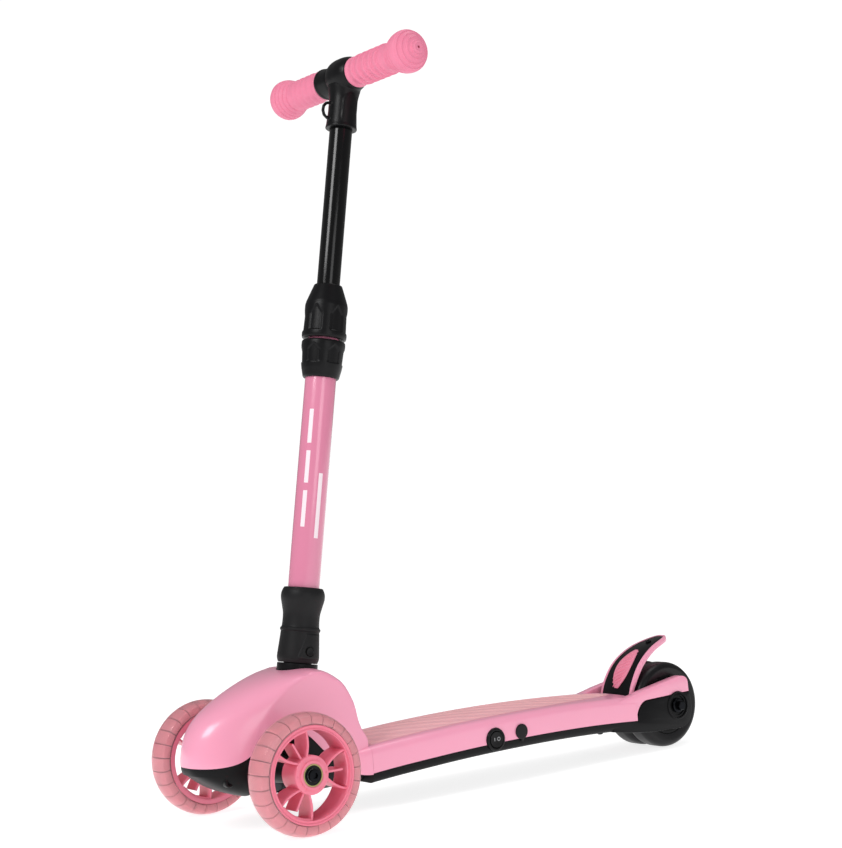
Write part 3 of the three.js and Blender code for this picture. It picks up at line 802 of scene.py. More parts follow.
    def _ripples(self) -> bpy.types.NodeTree:
        """Fine wavy ridges that follow the arched and crowned deck."""
        graph = new_group("deck_ripples", "GeometryNodeTree", {
            "Shape": (GEOMETRY, None), "Lines": (INTEGER, 27), "Spacing": (FLOAT, 0.003),
            "Start": (FLOAT, 0.0), "Length": (FLOAT, 0.3), "Middle": (FLOAT, 0.0),
            "Top": (FLOAT, 0.07),
            "Swing": (FLOAT, 0.0016), "Wave": (FLOAT, 0.03), "Thickness": (FLOAT, 0.0004),
            "Taper From": (FLOAT, 0.0), "Material": (MATERIAL, None)}, {"Shape": GEOMETRY})
        drift_across, points_per_line, sides, margin = 260.0, 150, 6, 0.0022
        total = graph["Lines"]
        first = (total - 1.0) * graph["Spacing"] * -0.5
        rows = graph.add("GeometryNodeMeshLine", {
            "Count": graph["Lines"], "Start Location": graph.merge(0.0, first, 0.0),
            "Offset": graph.merge(0.0, graph["Spacing"], 0.0)})
        start = graph.merge(graph["Start"], 0.0, 0.0)
        end = graph.merge(graph["Start"] - graph["Length"], 0.0, 0.0)
        line = graph.add("GeometryNodeCurvePrimitiveLine", {"Start": start, "End": end})
        fine = graph.add("GeometryNodeResampleCurve",
                         {"Curve": line.outputs[0], "Count": points_per_line})
        many = graph.add("GeometryNodeInstanceOnPoints", {"Points": rows.outputs[0],
                                                          "Instance": fine.outputs[0]})
        real = graph.add("GeometryNodeRealizeInstances", {0: many.outputs[0]})
        x, y, _ = graph.split(graph.add("GeometryNodeInputPosition").outputs[0])
        phase = x / graph["Wave"] * (2 * math.pi) + y * drift_across
        swung = y + graph.math("SINE", phase) * graph["Swing"]
        gone = x - graph["Middle"]
        rise = graph["Top"] + gone * gone * (-DECK_ARCH / MM) - swung * swung * (
            CROWN_FALL / (DECK_HALF * MM) ** 2 * MM)
        laid = graph.add("GeometryNodeSetPosition", {
            "Geometry": real.outputs[0], "Position": graph.merge(x, swung, rise)})
        x2, y2, _ = graph.split(graph.add("GeometryNodeInputPosition").outputs[0])
        gap = graph.held((graph["Taper From"] - x2) / (PANEL_TAPER * MM))
        half = graph.math("SQRT", graph.math("MAXIMUM", (gap ** TAPER_POWER) * -1.0 + 1.0, 0.0)) * (
            PANEL_HALF * MM)
        outside = graph.math("GREATER_THAN", graph.math("ABSOLUTE", y2), half - margin)
        kept = graph.add("GeometryNodeDeleteGeometry", {"Geometry": laid.outputs[0],
                                                        "Selection": outside.socket},
                         domain="POINT")
        section = graph.add("GeometryNodeCurvePrimitiveCircle", {
            "Resolution": sides, "Radius": graph["Thickness"]})
        tubes = graph.add("GeometryNodeCurveToMesh", {
            "Curve": kept.outputs[0], "Profile Curve": section.outputs[0], "Fill Caps": True})
        smooth = graph.add("GeometryNodeSetShadeSmooth", {"Geometry": tubes.outputs[0]})
        self._finish(graph, smooth.outputs[0])
        return graph.tree


# ---- Finishes --------------------------------------------------------------------------------

def linear(colour: str) -> tuple[float, float, float, float]:
    """A hex colour as linear numbers."""
    parts = [int(colour[i:i + 2], 16) / 255 for i in (0, 2, 4)]
    return tuple(c / 12.92 if c <= 0.04045 else ((c + 0.055) / 1.055) ** 2.4
                 for c in parts) + (1.0,)


class Surface(Enum):
    """How a finish is made up."""

    MOULDED = "moulded plastic or rubber"
    PAINTED = "coat on metal"
    METAL = "bare or plated metal"
    CLEAR = "light-passing plastic"


@dataclass(frozen=True)
class Finish:
    """One finish of the scooter; grain sizes are in millimetres."""

    name: str
    colour: str
    roughness: float
    surface: Surface = Surface.MOULDED
    slot: str = "black_plastic"
    coat: float = 0.0
    drift: float = 0.05
    smudge: float = 0.08
    grain: float = 0.8
    depth: float = 0.03
    see_through: float = 0.0
    soft_light: float = 0.0
    scuff: float = 0.0
    shine: float = 0.5


class Finishes(Enum):
    """Every finish on the scooter."""

    PINK_SHELL = Finish("pink_shell", "F8A3BF", 0.28, slot="pink_shell", coat=0.35, grain=2.6,
                        depth=0.004,
                        drift=0.02, smudge=0.012, soft_light=0.05)
    PINK_PAINT = Finish("pink_paint", "DC84A2", 0.22, Surface.PAINTED, "pink_paint", coat=0.7,
                        drift=0.03,
                        grain=1.8, depth=0.008)
    PINK_GRIP = Finish("pink_grip", "E4829E", 0.5, slot="pink_grip", grain=0.5, depth=0.03,
                       soft_light=0.05,
                       shine=0.3)
    PINK_LEAF = Finish("pink_leaf", "F08CA6", 0.5, slot="pink_grip", grain=0.5, depth=0.03,
                       soft_light=0.08)
    PINK_CORE = Finish("pink_core", "F08098", 0.36, slot="pink_core", coat=0.15, grain=1.2,
                       depth=0.015,
                       soft_light=0.06)
    TYRE_CLEAR = Finish("clear_tyre", "FFC0CA", 0.12, Surface.CLEAR, "clear_tyre", grain=2.0,
                        depth=0.01,
                        see_through=0.74)
    TYRE_BLOCK = Finish("tyre_block", "FFD0D2", 0.4, slot="clear_tyre", grain=1.0, depth=0.02,
                        soft_light=0.1)
    LIGHT_PANEL = Finish("light_panel", "F6B4BE", 0.38, slot="light_panel", grain=0.6, depth=0.02,
                         soft_light=0.1)
    PANEL_RIDGE = Finish("panel_ridge", "FFCACC", 0.4, slot="light_panel", grain=0.6, depth=0.02)
    BLACK_SHELL = Finish("black_shell", "0E0E10", 0.42, grain=0.55, depth=0.045, scuff=0.06,
                         shine=0.16)
    BLACK_SATIN = Finish("black_satin", "0B0B0D", 0.36, grain=0.5, depth=0.03, scuff=0.04,
                         shine=0.22)
    BLACK_RUBBER = Finish("black_rubber", "101012", 0.52, slot="black_rubber", grain=0.4,
                          depth=0.03,
                          shine=0.3)
    BLACK_TYRE = Finish("black_tyre", "0F0E11", 0.38, slot="black_tyre", grain=1.4, depth=0.02,
                        scuff=0.12,
                        shine=0.3)
    BLACK_PAINT = Finish("black_paint", "060607", 0.18, Surface.PAINTED, "black_paint", coat=0.22,
                         grain=1.6, depth=0.006, shine=0.25)
    STEEL = Finish("plated_steel", "B9BCC0", 0.3, Surface.METAL, "steel", grain=0.7, depth=0.01)
    BLACK_STEEL = Finish("blacked_steel", "1E1F22", 0.34, Surface.METAL, "black_steel", grain=0.6,
                         depth=0.012)
    CAST = Finish("cast_alloy", "4A4C50", 0.55, Surface.METAL, "cast_alloy", grain=1.1, depth=0.06)
    BEARING = Finish("yellow_zinc", "B5AC74", 0.32, Surface.METAL, "bearing_steel", grain=0.6,
                     depth=0.01)
    BOARD = Finish("opal_board", "E9E6DC", 0.5, slot="board", grain=0.8, depth=0.02)
    BATTERY = Finish("shrink_wrap", "3B4A5C", 0.42, slot="battery_wrap", grain=1.6, depth=0.03)
    PRINT = Finish("plain_print", "F4E4EA", 0.35, slot="pink_paint", grain=0.6, depth=0.004)
    MARK = Finish("pale_mark", "9A9A9C", 0.5, grain=0.6, depth=0.01)


class PaintShop:
    """Makes each finish into a material once."""

    def __init__(self) -> None:
        """Builds the shared groups."""
        self.made: dict[Finishes, bpy.types.Material] = {}
        self.drift = self._drift()
        self.grain = self._grain()
        self.handling = self._handling()
        self.brush = self._brush()

    def _drift(self) -> bpy.types.NodeTree:
        """Slow change of a colour over the surface."""
        graph = new_group("colour_drift", "ShaderNodeTree", {
            "Place": (VECTOR, None), "Colour": (COLOUR, (0.5, 0.5, 0.5, 1)),
            "Amount": (FLOAT, 0.05),
            "Size": (FLOAT, 9.0)}, {"Colour": COLOUR})
        cloud = graph.add("ShaderNodeTexNoise", {"Vector": graph["Place"],
                                                 "Scale": graph["Size"], "Detail": 4.0})
        fine = graph.add("ShaderNodeTexNoise", {"Vector": graph["Place"], "Scale": 900.0})
        both = graph.out(cloud, "Fac") * 0.75 + graph.out(fine, "Fac") * 0.25
        value = (both - 0.5) * 2.0 * graph["Amount"] + 1.0
        shade = graph.add("ShaderNodeHueSaturation", {
            "Color": graph["Colour"], "Value": value,
            "Saturation": (both - 0.5) * graph["Amount"] * -1.5 + 1.0})
        graph.feed(graph.result.inputs[0], shade.outputs[0])
        return graph.tree

    def _grain(self) -> bpy.types.NodeTree:
        """Fine moulded texture as a height."""
        graph = new_group("moulded_grain", "ShaderNodeTree", {
            "Place": (VECTOR, None), "Size": (FLOAT, 1000.0)}, {"Height": FLOAT})
        noise = graph.add("ShaderNodeTexNoise", {"Vector": graph["Place"],
                                                 "Scale": graph["Size"], "Detail": 3.0})
        cells = graph.add("ShaderNodeTexVoronoi", {"Vector": graph["Place"],
                                                   "Scale": graph["Size"]}, feature="SMOOTH_F1")
        graph.feed(graph.result.inputs[0], graph.out(noise, "Fac") * 0.6
                   + graph.out(cells, "Distance") * 0.4)
        return graph.tree

    def _handling(self) -> bpy.types.NodeTree:
        """Faint smears that change the roughness, and the mask of light scuffs."""
        graph = new_group("handling_marks", "ShaderNodeTree", {
            "Place": (VECTOR, None), "Roughness": (FLOAT, 0.4), "Amount": (FLOAT, 0.08)},
            {"Roughness": FLOAT, "Scuff": FLOAT})
        smear = graph.add("ShaderNodeTexNoise", {"Vector": graph["Place"], "Scale": 34.0,
                                                 "Detail": 5.0, "Distortion": 0.6})
        stretch = graph.add("ShaderNodeMapping",
                            {"Vector": graph["Place"], "Scale": (18, 160, 160)})
        lines = graph.add("ShaderNodeTexNoise",
                          {"Vector": stretch.outputs[0], "Scale": 1.6, "Detail": 6.0})
        rough = (graph.out(smear, "Fac") - 0.5) * graph["Amount"] * 2.0 + graph["Roughness"]
        graph.feed(graph.result.inputs["Roughness"], rough)
        graph.feed(graph.result.inputs["Scuff"], graph.remap(graph.out(lines, "Fac"), 0.62, 0.78))
        return graph.tree

    def _brush(self) -> bpy.types.NodeTree:
        """Fine drawn lines on bare metal, as a height."""
        graph = new_group("drawn_lines", "ShaderNodeTree", {
            "Place": (VECTOR, None), "Size": (FLOAT, 1000.0)}, {"Height": FLOAT})
        long = graph.add("ShaderNodeMapping", {"Vector": graph["Place"], "Scale": (1.0, 0.08, 1.0)})
        noise = graph.add("ShaderNodeTexNoise", {"Vector": long.outputs[0], "Scale": graph["Size"],
                                                 "Detail": 4.0})
        graph.feed(graph.result.inputs[0], noise.outputs["Fac"])
        return graph.tree

    def group(self, graph: Graph, tree: bpy.types.NodeTree, **feeds: object) -> bpy.types.Node:
        """Places a shared group in a material.

        Args:
            graph: the material's graph.
            tree: the shared group.
            feeds: its inputs by name.

        Returns:
            The node.
        """
        node = graph.add("ShaderNodeGroup", node_tree=tree)
        for key, value in feeds.items():
            graph.feed(node.inputs[key], value)
        return node

    def material(self, which: Finishes) -> bpy.types.Material:
        """The material of a finish.

        Args:
            which: the finish.

        Returns:
            The material, made on first use.
        """
        if which in self.made:
            return self.made[which]
        finish = which.value
        material = bpy.data.materials.new(finish.name)
        material.use_nodes = True
        graph = Graph(material.node_tree)
        shader = next(n for n in graph.tree.nodes if n.type == "BSDF_PRINCIPLED")
        place = graph.add("ShaderNodeTexCoord").outputs["Object"]
        colour = self.group(graph, self.drift, Place=place, Colour=linear(finish.colour),
                            Amount=finish.drift)
        marks = self.group(graph, self.handling, Place=place, Roughness=finish.roughness,
                           Amount=finish.smudge)
        scale = 1.0 / (finish.grain * MM)
        metal = finish.surface is Surface.METAL
        texture = self.group(graph, self.brush if metal else self.grain, Place=place, Size=scale)
        bump = graph.add("ShaderNodeBump", {"Height": texture.outputs[0], "Strength": 0.5,
                                            "Distance": finish.depth * MM})
        base = colour.outputs[0]
        if finish.scuff:
            rub = graph.add("ShaderNodeMix", {"Factor": graph.out(marks, "Scuff") * finish.scuff},
                            data_type="RGBA")
            graph.feed(rub.inputs[6], base)
            graph.feed(rub.inputs[7], linear("4C4C50"))
            base = rub.outputs[2]
        graph.feed(shader.inputs["Base Color"], base)
        graph.feed(shader.inputs["Roughness"], marks.outputs["Roughness"])
        graph.feed(shader.inputs["Normal"], bump.outputs[0])
        shader.inputs["Metallic"].default_value = 1.0 if metal else 0.0
        shader.inputs["Coat Weight"].default_value = finish.coat
        shader.inputs["Specular IOR Level"].default_value = finish.shine
        shader.inputs["Coat Roughness"].default_value = 0.12
        if finish.surface is Surface.CLEAR:
            shader.inputs["Transmission Weight"].default_value = finish.see_through
            shader.inputs["IOR"].default_value = 1.33
        if finish.soft_light:
            shader.inputs["Subsurface Weight"].default_value = finish.soft_light
            shader.inputs["Subsurface Radius"].default_value = (1.0, 0.35, 0.4)
            shader.inputs["Subsurface Scale"].default_value = 0.004
        self.made[which] = material
        return material


@dataclass
class Workshop:
    """Turns solids into dressed pieces that ride on the frame's bodies."""

    paint: PaintShop = field(default_factory=PaintShop)
    patterns: Patterns = field(default_factory=Patterns)
    spoken_for: set[str] = field(default_factory=set)

    def dress(self, made: bpy.types.Object, finish: Finishes, body: str,
              stands_for: Sequence[str] = ()) -> None:
        """Gives a finished mesh its material and its body.

        Args:
            made: the object.
            finish: its finish.
            body: the body that it rides on.
            stands_for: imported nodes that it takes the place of.
        """
        made.data.materials.clear()
        made.data.materials.append(self.paint.material(finish))
        for polygon in made.data.polygons:
            polygon.material_index = 0
        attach(made, body)
        fresh = [node for node in stands_for if node not in self.spoken_for]
        if fresh:
            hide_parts(*fresh)
            self.spoken_for.update(fresh)
        log.info("%s: %d faces, %s, rides on %s", made.name, len(made.data.polygons),
                 finish.value.name, body)

    def piece(self, name: str, body_mesh: Solid, finish: Finishes, body: str,
              stands_for: Sequence[str] = (), sharp: float = CRISP) -> bpy.types.Object:
        """A dressed piece straight from a solid.

        Args:
            name: the piece's name.
            body_mesh: its mesh data.
            finish: its finish.
            body: the body that it rides on.
            stands_for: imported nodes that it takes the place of.
            sharp: edges that bend by more than this many degrees stay crisp.

        Returns:
            The piece.
        """
        made = make_object(name, body_mesh, sharp)
        self.dress(made, finish, body, stands_for)
        return made

    def bearing(self, name: str, low: float, high: float, at: Matrix, body: str, node: str) -> None:
        """Makes a sealed bearing: outer ring, bright race and the dark shield between.

        Args:
            name: name of its outer ring.
            low: height of its lower face.
            high: height of its upper face.
            at: the bearing's place.
            body: the body that the pieces ride on.
            node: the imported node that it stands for.
        """
        parts = (("", Finishes.BEARING, 9.7, 10.9, 0.0), ("_race", Finishes.STEEL, 4.1, 6.3, 0.0),
                 ("_shield", Finishes.BLACK_SATIN, 6.3, 9.7, 0.6))
        for tail, finish, inner, outer, sunk in parts:
            ring = tube(inner, outer, low, high - sunk, 0.2, 72)
            self.piece(name + tail, ring.placed(at), finish, body, [] if tail else [node])

    def repeat_round(self, made: bpy.types.Object, finish: Finishes, count: int, centre: Vector,
                     axis: Triple, turn: float) -> None:
        """Repeats a mesh about an axis.

        Args:
            made: the object with one copy.
            finish: material of the copies.
            count: how many.
            centre: a point on the axis, in millimetres.
            axis: the axis.
            turn: angle between copies, in degrees.
        """
        apply_tree(made, self.patterns.round, Count=count, Centre=tuple(centre * MM), Axis=axis,
                   Turn=math.radians(turn), Material=self.paint.material(finish))

    def keep(self, node: str, finish: Finishes) -> None:
        """Gives a carried-over node its material.

        Args:
            node: name of the node.
            finish: its finish.
        """
        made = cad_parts[node]
        for place in made.material_slots:
            place.material = self.paint.material(finish)
        log.info("%s: carried over, %s", node, finish.value.name)


# ---- Deck ------------------------------------------------------------------------------------

@dataclass
class Deck:
    """The arched deck: shell, tray, light panel and the rear fork."""

    front: float = -112.5
    rear: float = -491.0
    middle: float = -313.0
    seam: float = 47.0
    crown: float = 76.0
    under: float = 36.5
    wall: float = 2.6
    gap: float = 0.3
    fork: Pair = (34.0, 46.0)
    switch: Triple = (-272.0, 51.0, 12.7)
    port: Triple = (-309.0, 54.5, 6.8)

    def arch(self, x: float) -> float:
        """Rise of the whole deck at x."""
        return -DECK_ARCH * (x - self.middle) ** 2

    def seam_z(self, x: float) -> float:
        """Height of the line between shell and tray."""
        return self.seam + self.arch(x)

    def crown_z(self, x: float, y: float) -> float:
        """Height of the deck's top."""
        return self.crown + self.arch(x) - CROWN_FALL * (y / DECK_HALF) ** 2

    def half(self, x: float) -> float:
        """Half the deck's width."""
        return DECK_HALF - 8.0 * smoothstep(-x, 280.0, 490.0) - 3.0 * smoothstep(x, -200.0, -110.0)

    def panel_half(self, x: float) -> float:
        """Half the light panel's width."""
        return PANEL_HALF * math.sqrt(
            1.0 - clamp((PANEL_TAPER_X - x) / PANEL_TAPER, 0.0, 0.99) ** TAPER_POWER)

    def shell_ring(self, x: float, inset: float, foot: float, ceiling: float = 0.0) -> list[Vector]:
        """One section of the shell, from its foot on the left over the top to the right.

        Args:
            x: how far ahead of the front axle, in millimetres.
            inset: how far inside the outer skin.
            foot: height of its lower edge.
            ceiling: how far its top is lowered.

        Returns:
            The section, as one closed ring.
        """
        half, corner = self.half(x) - inset, 8.0 - min(inset, 4.0)
        lip = 0.7 if inset == 0 else 0.0
        side = [(half - lip, foot), (half - lip * 0.25, foot + lip * 0.25), (half, foot + lip)]
        for a in steps(0.0, math.pi / 2, 9):
            side.append((half - corner + corner * math.cos(a),
                         self.crown_z(x, half - corner) - corner + corner * math.sin(a) - ceiling))
        side += [(half * k, self.crown_z(x, half * k) - ceiling) for k in (0.75, 0.5, 0.25, 0.08)]
        return both_sides(x, side)

    def tray_ring(self, x: float, inset: float, top: float) -> list[Vector]:
        """One section of the tray, from its top edge on the left under to the right.

        Args:
            x: how far ahead of the front axle, in millimetres.
            inset: how far inside the outer skin.
            top: height of its upper edge.

        Returns:
            The section, as one closed ring.
        """
        half, floor = self.half(x) - inset, self.under + self.arch(x) + inset
        side = rounded([(half, top), (half, floor + 5), (half - 2, floor + 1.4), (half - 6, floor),
                        (0, floor)],
                       2.0, closed=False)[:-1]
        return both_sides(x, side)

    def strip(self, xs: Sequence[float], half_of: Callable[[float], float], low: float,
              high: float) -> Solid:
        """A strip that follows the crown between two depths.

        Args:
            xs: where the sections lie.
            half_of: half the width at each place.
            low: depth of its lower face.
            high: depth of its upper face.

        Returns:
            The solid.
        """
        rings = []
        for x in xs:
            across = [k * half_of(x) for k in steps(-1.0, 1.0, 13)]
            rings.append([Vector((x, y, self.crown_z(x, y) + low)) for y in across]
                         + [Vector((x, y, self.crown_z(x, y) + high)) for y in reversed(across)])
        return loft(rings)

    def fork_cap(self) -> list[Pair]:
        """Outline of the painted cap over one fork arm."""
        return ([(-468, 48), (-462, 66)] + bezier((-462, 66), (-482, 68.5), (-500, 73), 8)[1:]
                + [(-531, 78.4)] + bezier((-562, 83.5), (-575, 85), (-577, 76), 9)
                + [(-577.5, 64.3), (-540, 63.2)]
                + bezier((-508, 62.3), (-496, 61), (-491.2, 46), 10) + [(-485, 46)])

    def fork_plate(self) -> list[Pair]:
        """Outline of one fork arm."""
        return ([(-452, self.seam_z(-452) - self.gap)]
                + bezier((-491.5, self.seam_z(-491) - self.gap), (-496.5, 60.4), (-508, 62), 10)
                + bezier((-577.5, 64), (-583, 50), (-579, 36), 9)
                + bezier((-579, 36), (-575, 24), (-560, 23), 8)[1:]
                + bezier((-520, 24), (-480, 27), (-452, 32.6), 8))

    def hole(self, x: float, z: float, radius: float, y0: float, y1: float) -> Solid:
        """A cutter along Y."""
        turn = Matrix.Translation((x, 0, z)) @ TO_LEFT
        return rod(radius, y0, y1).placed(turn)

    def arms(self, outline: Sequence[Pair], trim: float) -> list[Solid]:
        """The two fork arms of an outline."""
        low, high = self.fork
        return [prism(outline, low, high - trim, 1.2), prism(outline, -high + trim, -low, 1.2)]

    def build(self, shop: Workshop) -> None:
        """Makes the deck's pieces.

        Args:
            shop: makes and dresses the pieces.
        """
        shell = make_object("deck_shell_skin", loft([self.shell_ring(x, 0, self.seam_z(x))
                                                     for x in steps(self.front, self.rear,
                                                                    61)]).placed(HOME))
        hollow = loft([self.shell_ring(x, self.wall, self.seam_z(x) - 6, 4.2)
                       for x in steps(self.front - self.wall, self.rear + self.wall,
                                      41)]).placed(HOME)
        tongue = box_solid((-180, -24.6, 41.4), (-100, 24.6, 54.6))
        recess = self.strip(steps(-117.7, -485.3, 60), lambda x: self.panel_half(x) + self.gap,
                            -1.7, 8)
        window = self.strip(steps(-150, -430, 30), lambda x: self.panel_half(x) - 7, -9, 4)
        combine(shell, "DIFFERENCE", [hollow])
        combine(shell, "UNION", [arm.placed(HOME) for arm in self.arms(self.fork_cap(), 0.2)])
        combine(shell, "DIFFERENCE", [cutter.placed(HOME) for cutter in (
            tongue, recess, window, self.hole(*self.switch, 40, 60),
            self.hole(*self.port, 40, 60),
            self.hole(BRAKE_PIN_X, BRAKE_PIN_Z, 2.3, -40, 40))])
        shop.dress(shell, Finishes.PINK_SHELL, "chassis", ["deck_shell"])
        tray = make_object("deck_tray_skin", loft([self.tray_ring(x, 0, self.seam_z(x) - self.gap)
                                                   for x in steps(self.front, self.rear,
                                                                  51)]).placed(HOME))
        hollow = loft([self.tray_ring(x, self.wall, self.seam_z(x) + 5)
                       for x in steps(self.front - self.wall, self.rear + self.wall,
                                      41)]).placed(HOME)
        combine(tray, "DIFFERENCE", [hollow])
        combine(tray, "UNION", [arm.placed(HOME) for arm in self.arms(self.fork_plate(), 0.0)])
        combine(tray, "DIFFERENCE", [cutter.placed(HOME) for cutter in (
            self.hole(*self.switch, 40, 60),
            self.hole(REAR_AXLE_X, REAR_AXLE_Z, 4.2, -50, 50),
            self.hole(REAR_AXLE_X, REAR_AXLE_Z, 11.6, 44.6, 60),
            self.hole(REAR_AXLE_X, REAR_AXLE_Z, 11.6, -60, -44.6))])
        shop.dress(tray, Finishes.BLACK_SHELL, "chassis", ["deck_tray"])
        self.build_panel(shop)
        self.build_screws(shop)

    def build_panel(self, shop: Workshop) -> None:
        """Makes the light panel and its raised wavy pattern.

        Args:
            shop: makes and dresses the pieces.
        """
        shop.piece("light_panel_sheet",
                   self.strip(steps(-118, -485, 80), self.panel_half, -1.4, 0.3)
                   .placed(HOME), Finishes.LIGHT_PANEL, "chassis", ["light_panel"])
        ripples = make_object("light_panel_ripples", Solid([Vector((0, 0, 0))], []))
        apply_tree(ripples, shop.patterns.ripples, Lines=23, Spacing=3.5 * MM,
                   Start=(AXLE.x - 121) * MM,
                   Length=358 * MM, Middle=(AXLE.x + self.middle) * MM,
                   Top=(self.crown + 0.32) * MM,
                   Swing=1.5 * MM, Wave=34 * MM, Thickness=0.3 * MM,
                   Taper_From=(AXLE.x + PANEL_TAPER_X) * MM,
                   Material=shop.paint.material(Finishes.PANEL_RIDGE))
        shop.dress(ripples, Finishes.PANEL_RIDGE, "chassis")

    def build_screws(self, shop: Workshop) -> None:
        """Makes the pan-head screws that hold the tray, seen from below.

        Args:
            shop: makes and dresses the pieces.
        """
        for side in Side:
            x, y = -440.0, side.value * 36.0
            z = self.under + self.arch(x) - 0.2
            head = turned([(0, -1.5), (2.2, -1.5), (3.4, -0.7), (3.4, 0.6), (0, 0.6)], 0.4, 40)
            screw = make_object(f"tray_screws_{side.word}", head.placed(
                spot(x, y, z)))
            apply_tree(screw, shop.patterns.row, Count=2, Step=(76 * MM, 0, 3.3 * MM),
                       Material=shop.paint.material(Finishes.BLACK_STEEL))
            shop.dress(screw, Finishes.BLACK_STEEL, "chassis")


# ---- Front body ------------------------------------------------------------------------------

@dataclass
class FrontBody:
    """The glossy cover over the front truck and the black housings under it."""

    nose: float = 77.0
    wall: float = 2.6
    tail: float = -112.2
    panel_top: float = 149.6
    widest: float = 46.0
    waist: float = 70.0
    belly: float = 3.2
    ahead_curve: Pair = (1.15, 2.3)
    behind_curve: Pair = (2.0, 2.2)
    deck_line: float = 74.0
    top: Spline = Spline(((77, 74), (75.6, 86), (70, 101), (56, 116), (30, 131), (0, 142.5),
                          (-30, 150),
                          (-58, 152), (-80, 145.5), (-97, 128), (-107, 104), (-112, 72)))
    under: Spline = Spline(((77, 68), (72, 58), (49, 41.5), (27, 32), (4, 27), (-30, 25.6),
                            (-70, 25.6),
                            (-112, 27)))
    hem: Spline = Spline(((86, 69), (60, 68), (38, 72), (14, 85), (-12, 96), (-36, 90), (-58, 69),
                          (-82, 46),
                          (-100, 38.5), (-116, 36.5)))
    panel_ahead: Spline = Spline(((60, 38), (70, 33), (85, 24.5), (96, 17.7), (105.5, 12),
                                  (113.5, 7), (122, 0),
                                  (131, -10.4), (140.3, -23), (146.5, -38), (149, -49),
                                  (149.6, -54)))
    panel_behind: Spline = Spline(((60, -116), (74, -112), (84, -105.5), (94, -100.7), (110.7, -97),
                                   (123.8, -90.6), (134.9, -82.9), (142.5, -71.2), (148, -60),
                                   (149.6, -54)))

    def __post_init__(self) -> None:
        """Reads each line into a table once."""
        over = self.top.line(221)
        high = max(range(len(over)), key=lambda k: over[k][1])
        self.peak = over[high][1]
        self.roof, self.floor = Table.of(over), Table.of(self.under.line(141))
        self.nose_at = Table.of([(z, x) for x, z in over[:high + 1]])
        self.tail_at = Table.of([(z, x) for x, z in over[high:]])
        self.ahead_at = Table.of(self.panel_ahead.line(161))
        self.behind_at = Table.of(self.panel_behind.line(161))

    def half(self, x: float, z: float) -> float:
        """Half the body's width: a flat side panel, rounded away ahead and behind.

        Args:
            x: how far ahead of the front axle, in millimetres.
            z: height above the ground, in millimetres.

        Returns:
            Half the width, in millimetres.
        """
        ahead, behind = self.ahead_at.at(z), self.behind_at.at(z)
        reach, (power, bow) = 0.0, self.ahead_curve
        if x > ahead:
            reach = (x - ahead) / (self.nose_at.at(z) - ahead)
        elif x < behind and z > self.deck_line:
            reach = (behind - x) / max(behind - self.tail_at.at(z), 0.5)
            power, bow = self.behind_curve
        lid = clamp((z - self.panel_top) / (self.peak + 0.4 - self.panel_top))
        narrowing = clamp((-x - 45.0) / 90.0)
        width = self.widest - 3.0 * narrowing ** 2
        return width * math.sqrt(1.0 - lid * lid) * (1.0 - clamp(reach) ** power) ** (1 / bow)

    def ring(self, x: float, inset: float, count: int = 96) -> list[Vector]:
        """One closed section of the body at x.

        Args:
            x: how far ahead of the front axle, in millimetres.
            inset: how far inside the outer skin.
            count: how many points.

        Returns:
            The section, as one closed ring.
        """
        widest = max(self.half(x, self.waist), 1.0)
        narrow = max(widest - inset, 0.6) / widest
        top, under = self.roof.at(x), self.floor.at(x)
        waist = clamp(self.waist, under + inset + 1, top - inset - 1)
        points = []
        for k in range(count):
            c, s = math.cos(2 * math.pi * k / count), math.sin(2 * math.pi * k / count)
            if s >= 0:
                y, z = self.half(x, waist + (top - waist) * s), waist + (top - inset - waist) * s
            else:
                y = widest * abs(c) ** (2 / self.belly)
                z = waist - (waist - under - inset) * abs(s) ** (2 / self.belly)
            points.append(Vector((x, math.copysign(max(y * narrow, 0.05), c), z)))
        return points

    def body(self, inset: float, tail: float) -> Solid:
        """The whole front body as one closed form.

        Args:
            inset: how far inside the outer skin.
            tail: where it ends at the back.

        Returns:
            The solid.
        """
        ends = self.nose - 0.4 - inset
        xs = [ends - (ends - tail) * (1 - math.cos(a)) / 2 for a in steps(0.0, math.pi, 64)]
        return loft([self.ring(x, inset) for x in xs]).placed(HOME)

    def below_hem(self, drop: float) -> Solid:
        """Everything under the line where the cover ends."""
        line = [(x, z - drop) for x, z in self.hem.line(64)]
        return prism(line + [(-116, 0), (86, 0)], -80, 80, 0.01).placed(HOME)

    def lower(self, name: str, inset: float, drop: float) -> bpy.types.Object:
        """The part of the body that lies below the hem.

        Args:
            name: the object's name.
            inset: how far inside the outer skin it lies.
            drop: how far below the hem it starts.

        Returns:
            The object.
        """
        made = make_object(name, self.body(inset, self.tail))
        combine(made, "INTERSECT", [self.below_hem(drop)], CRISP_HOUSING)
        return made

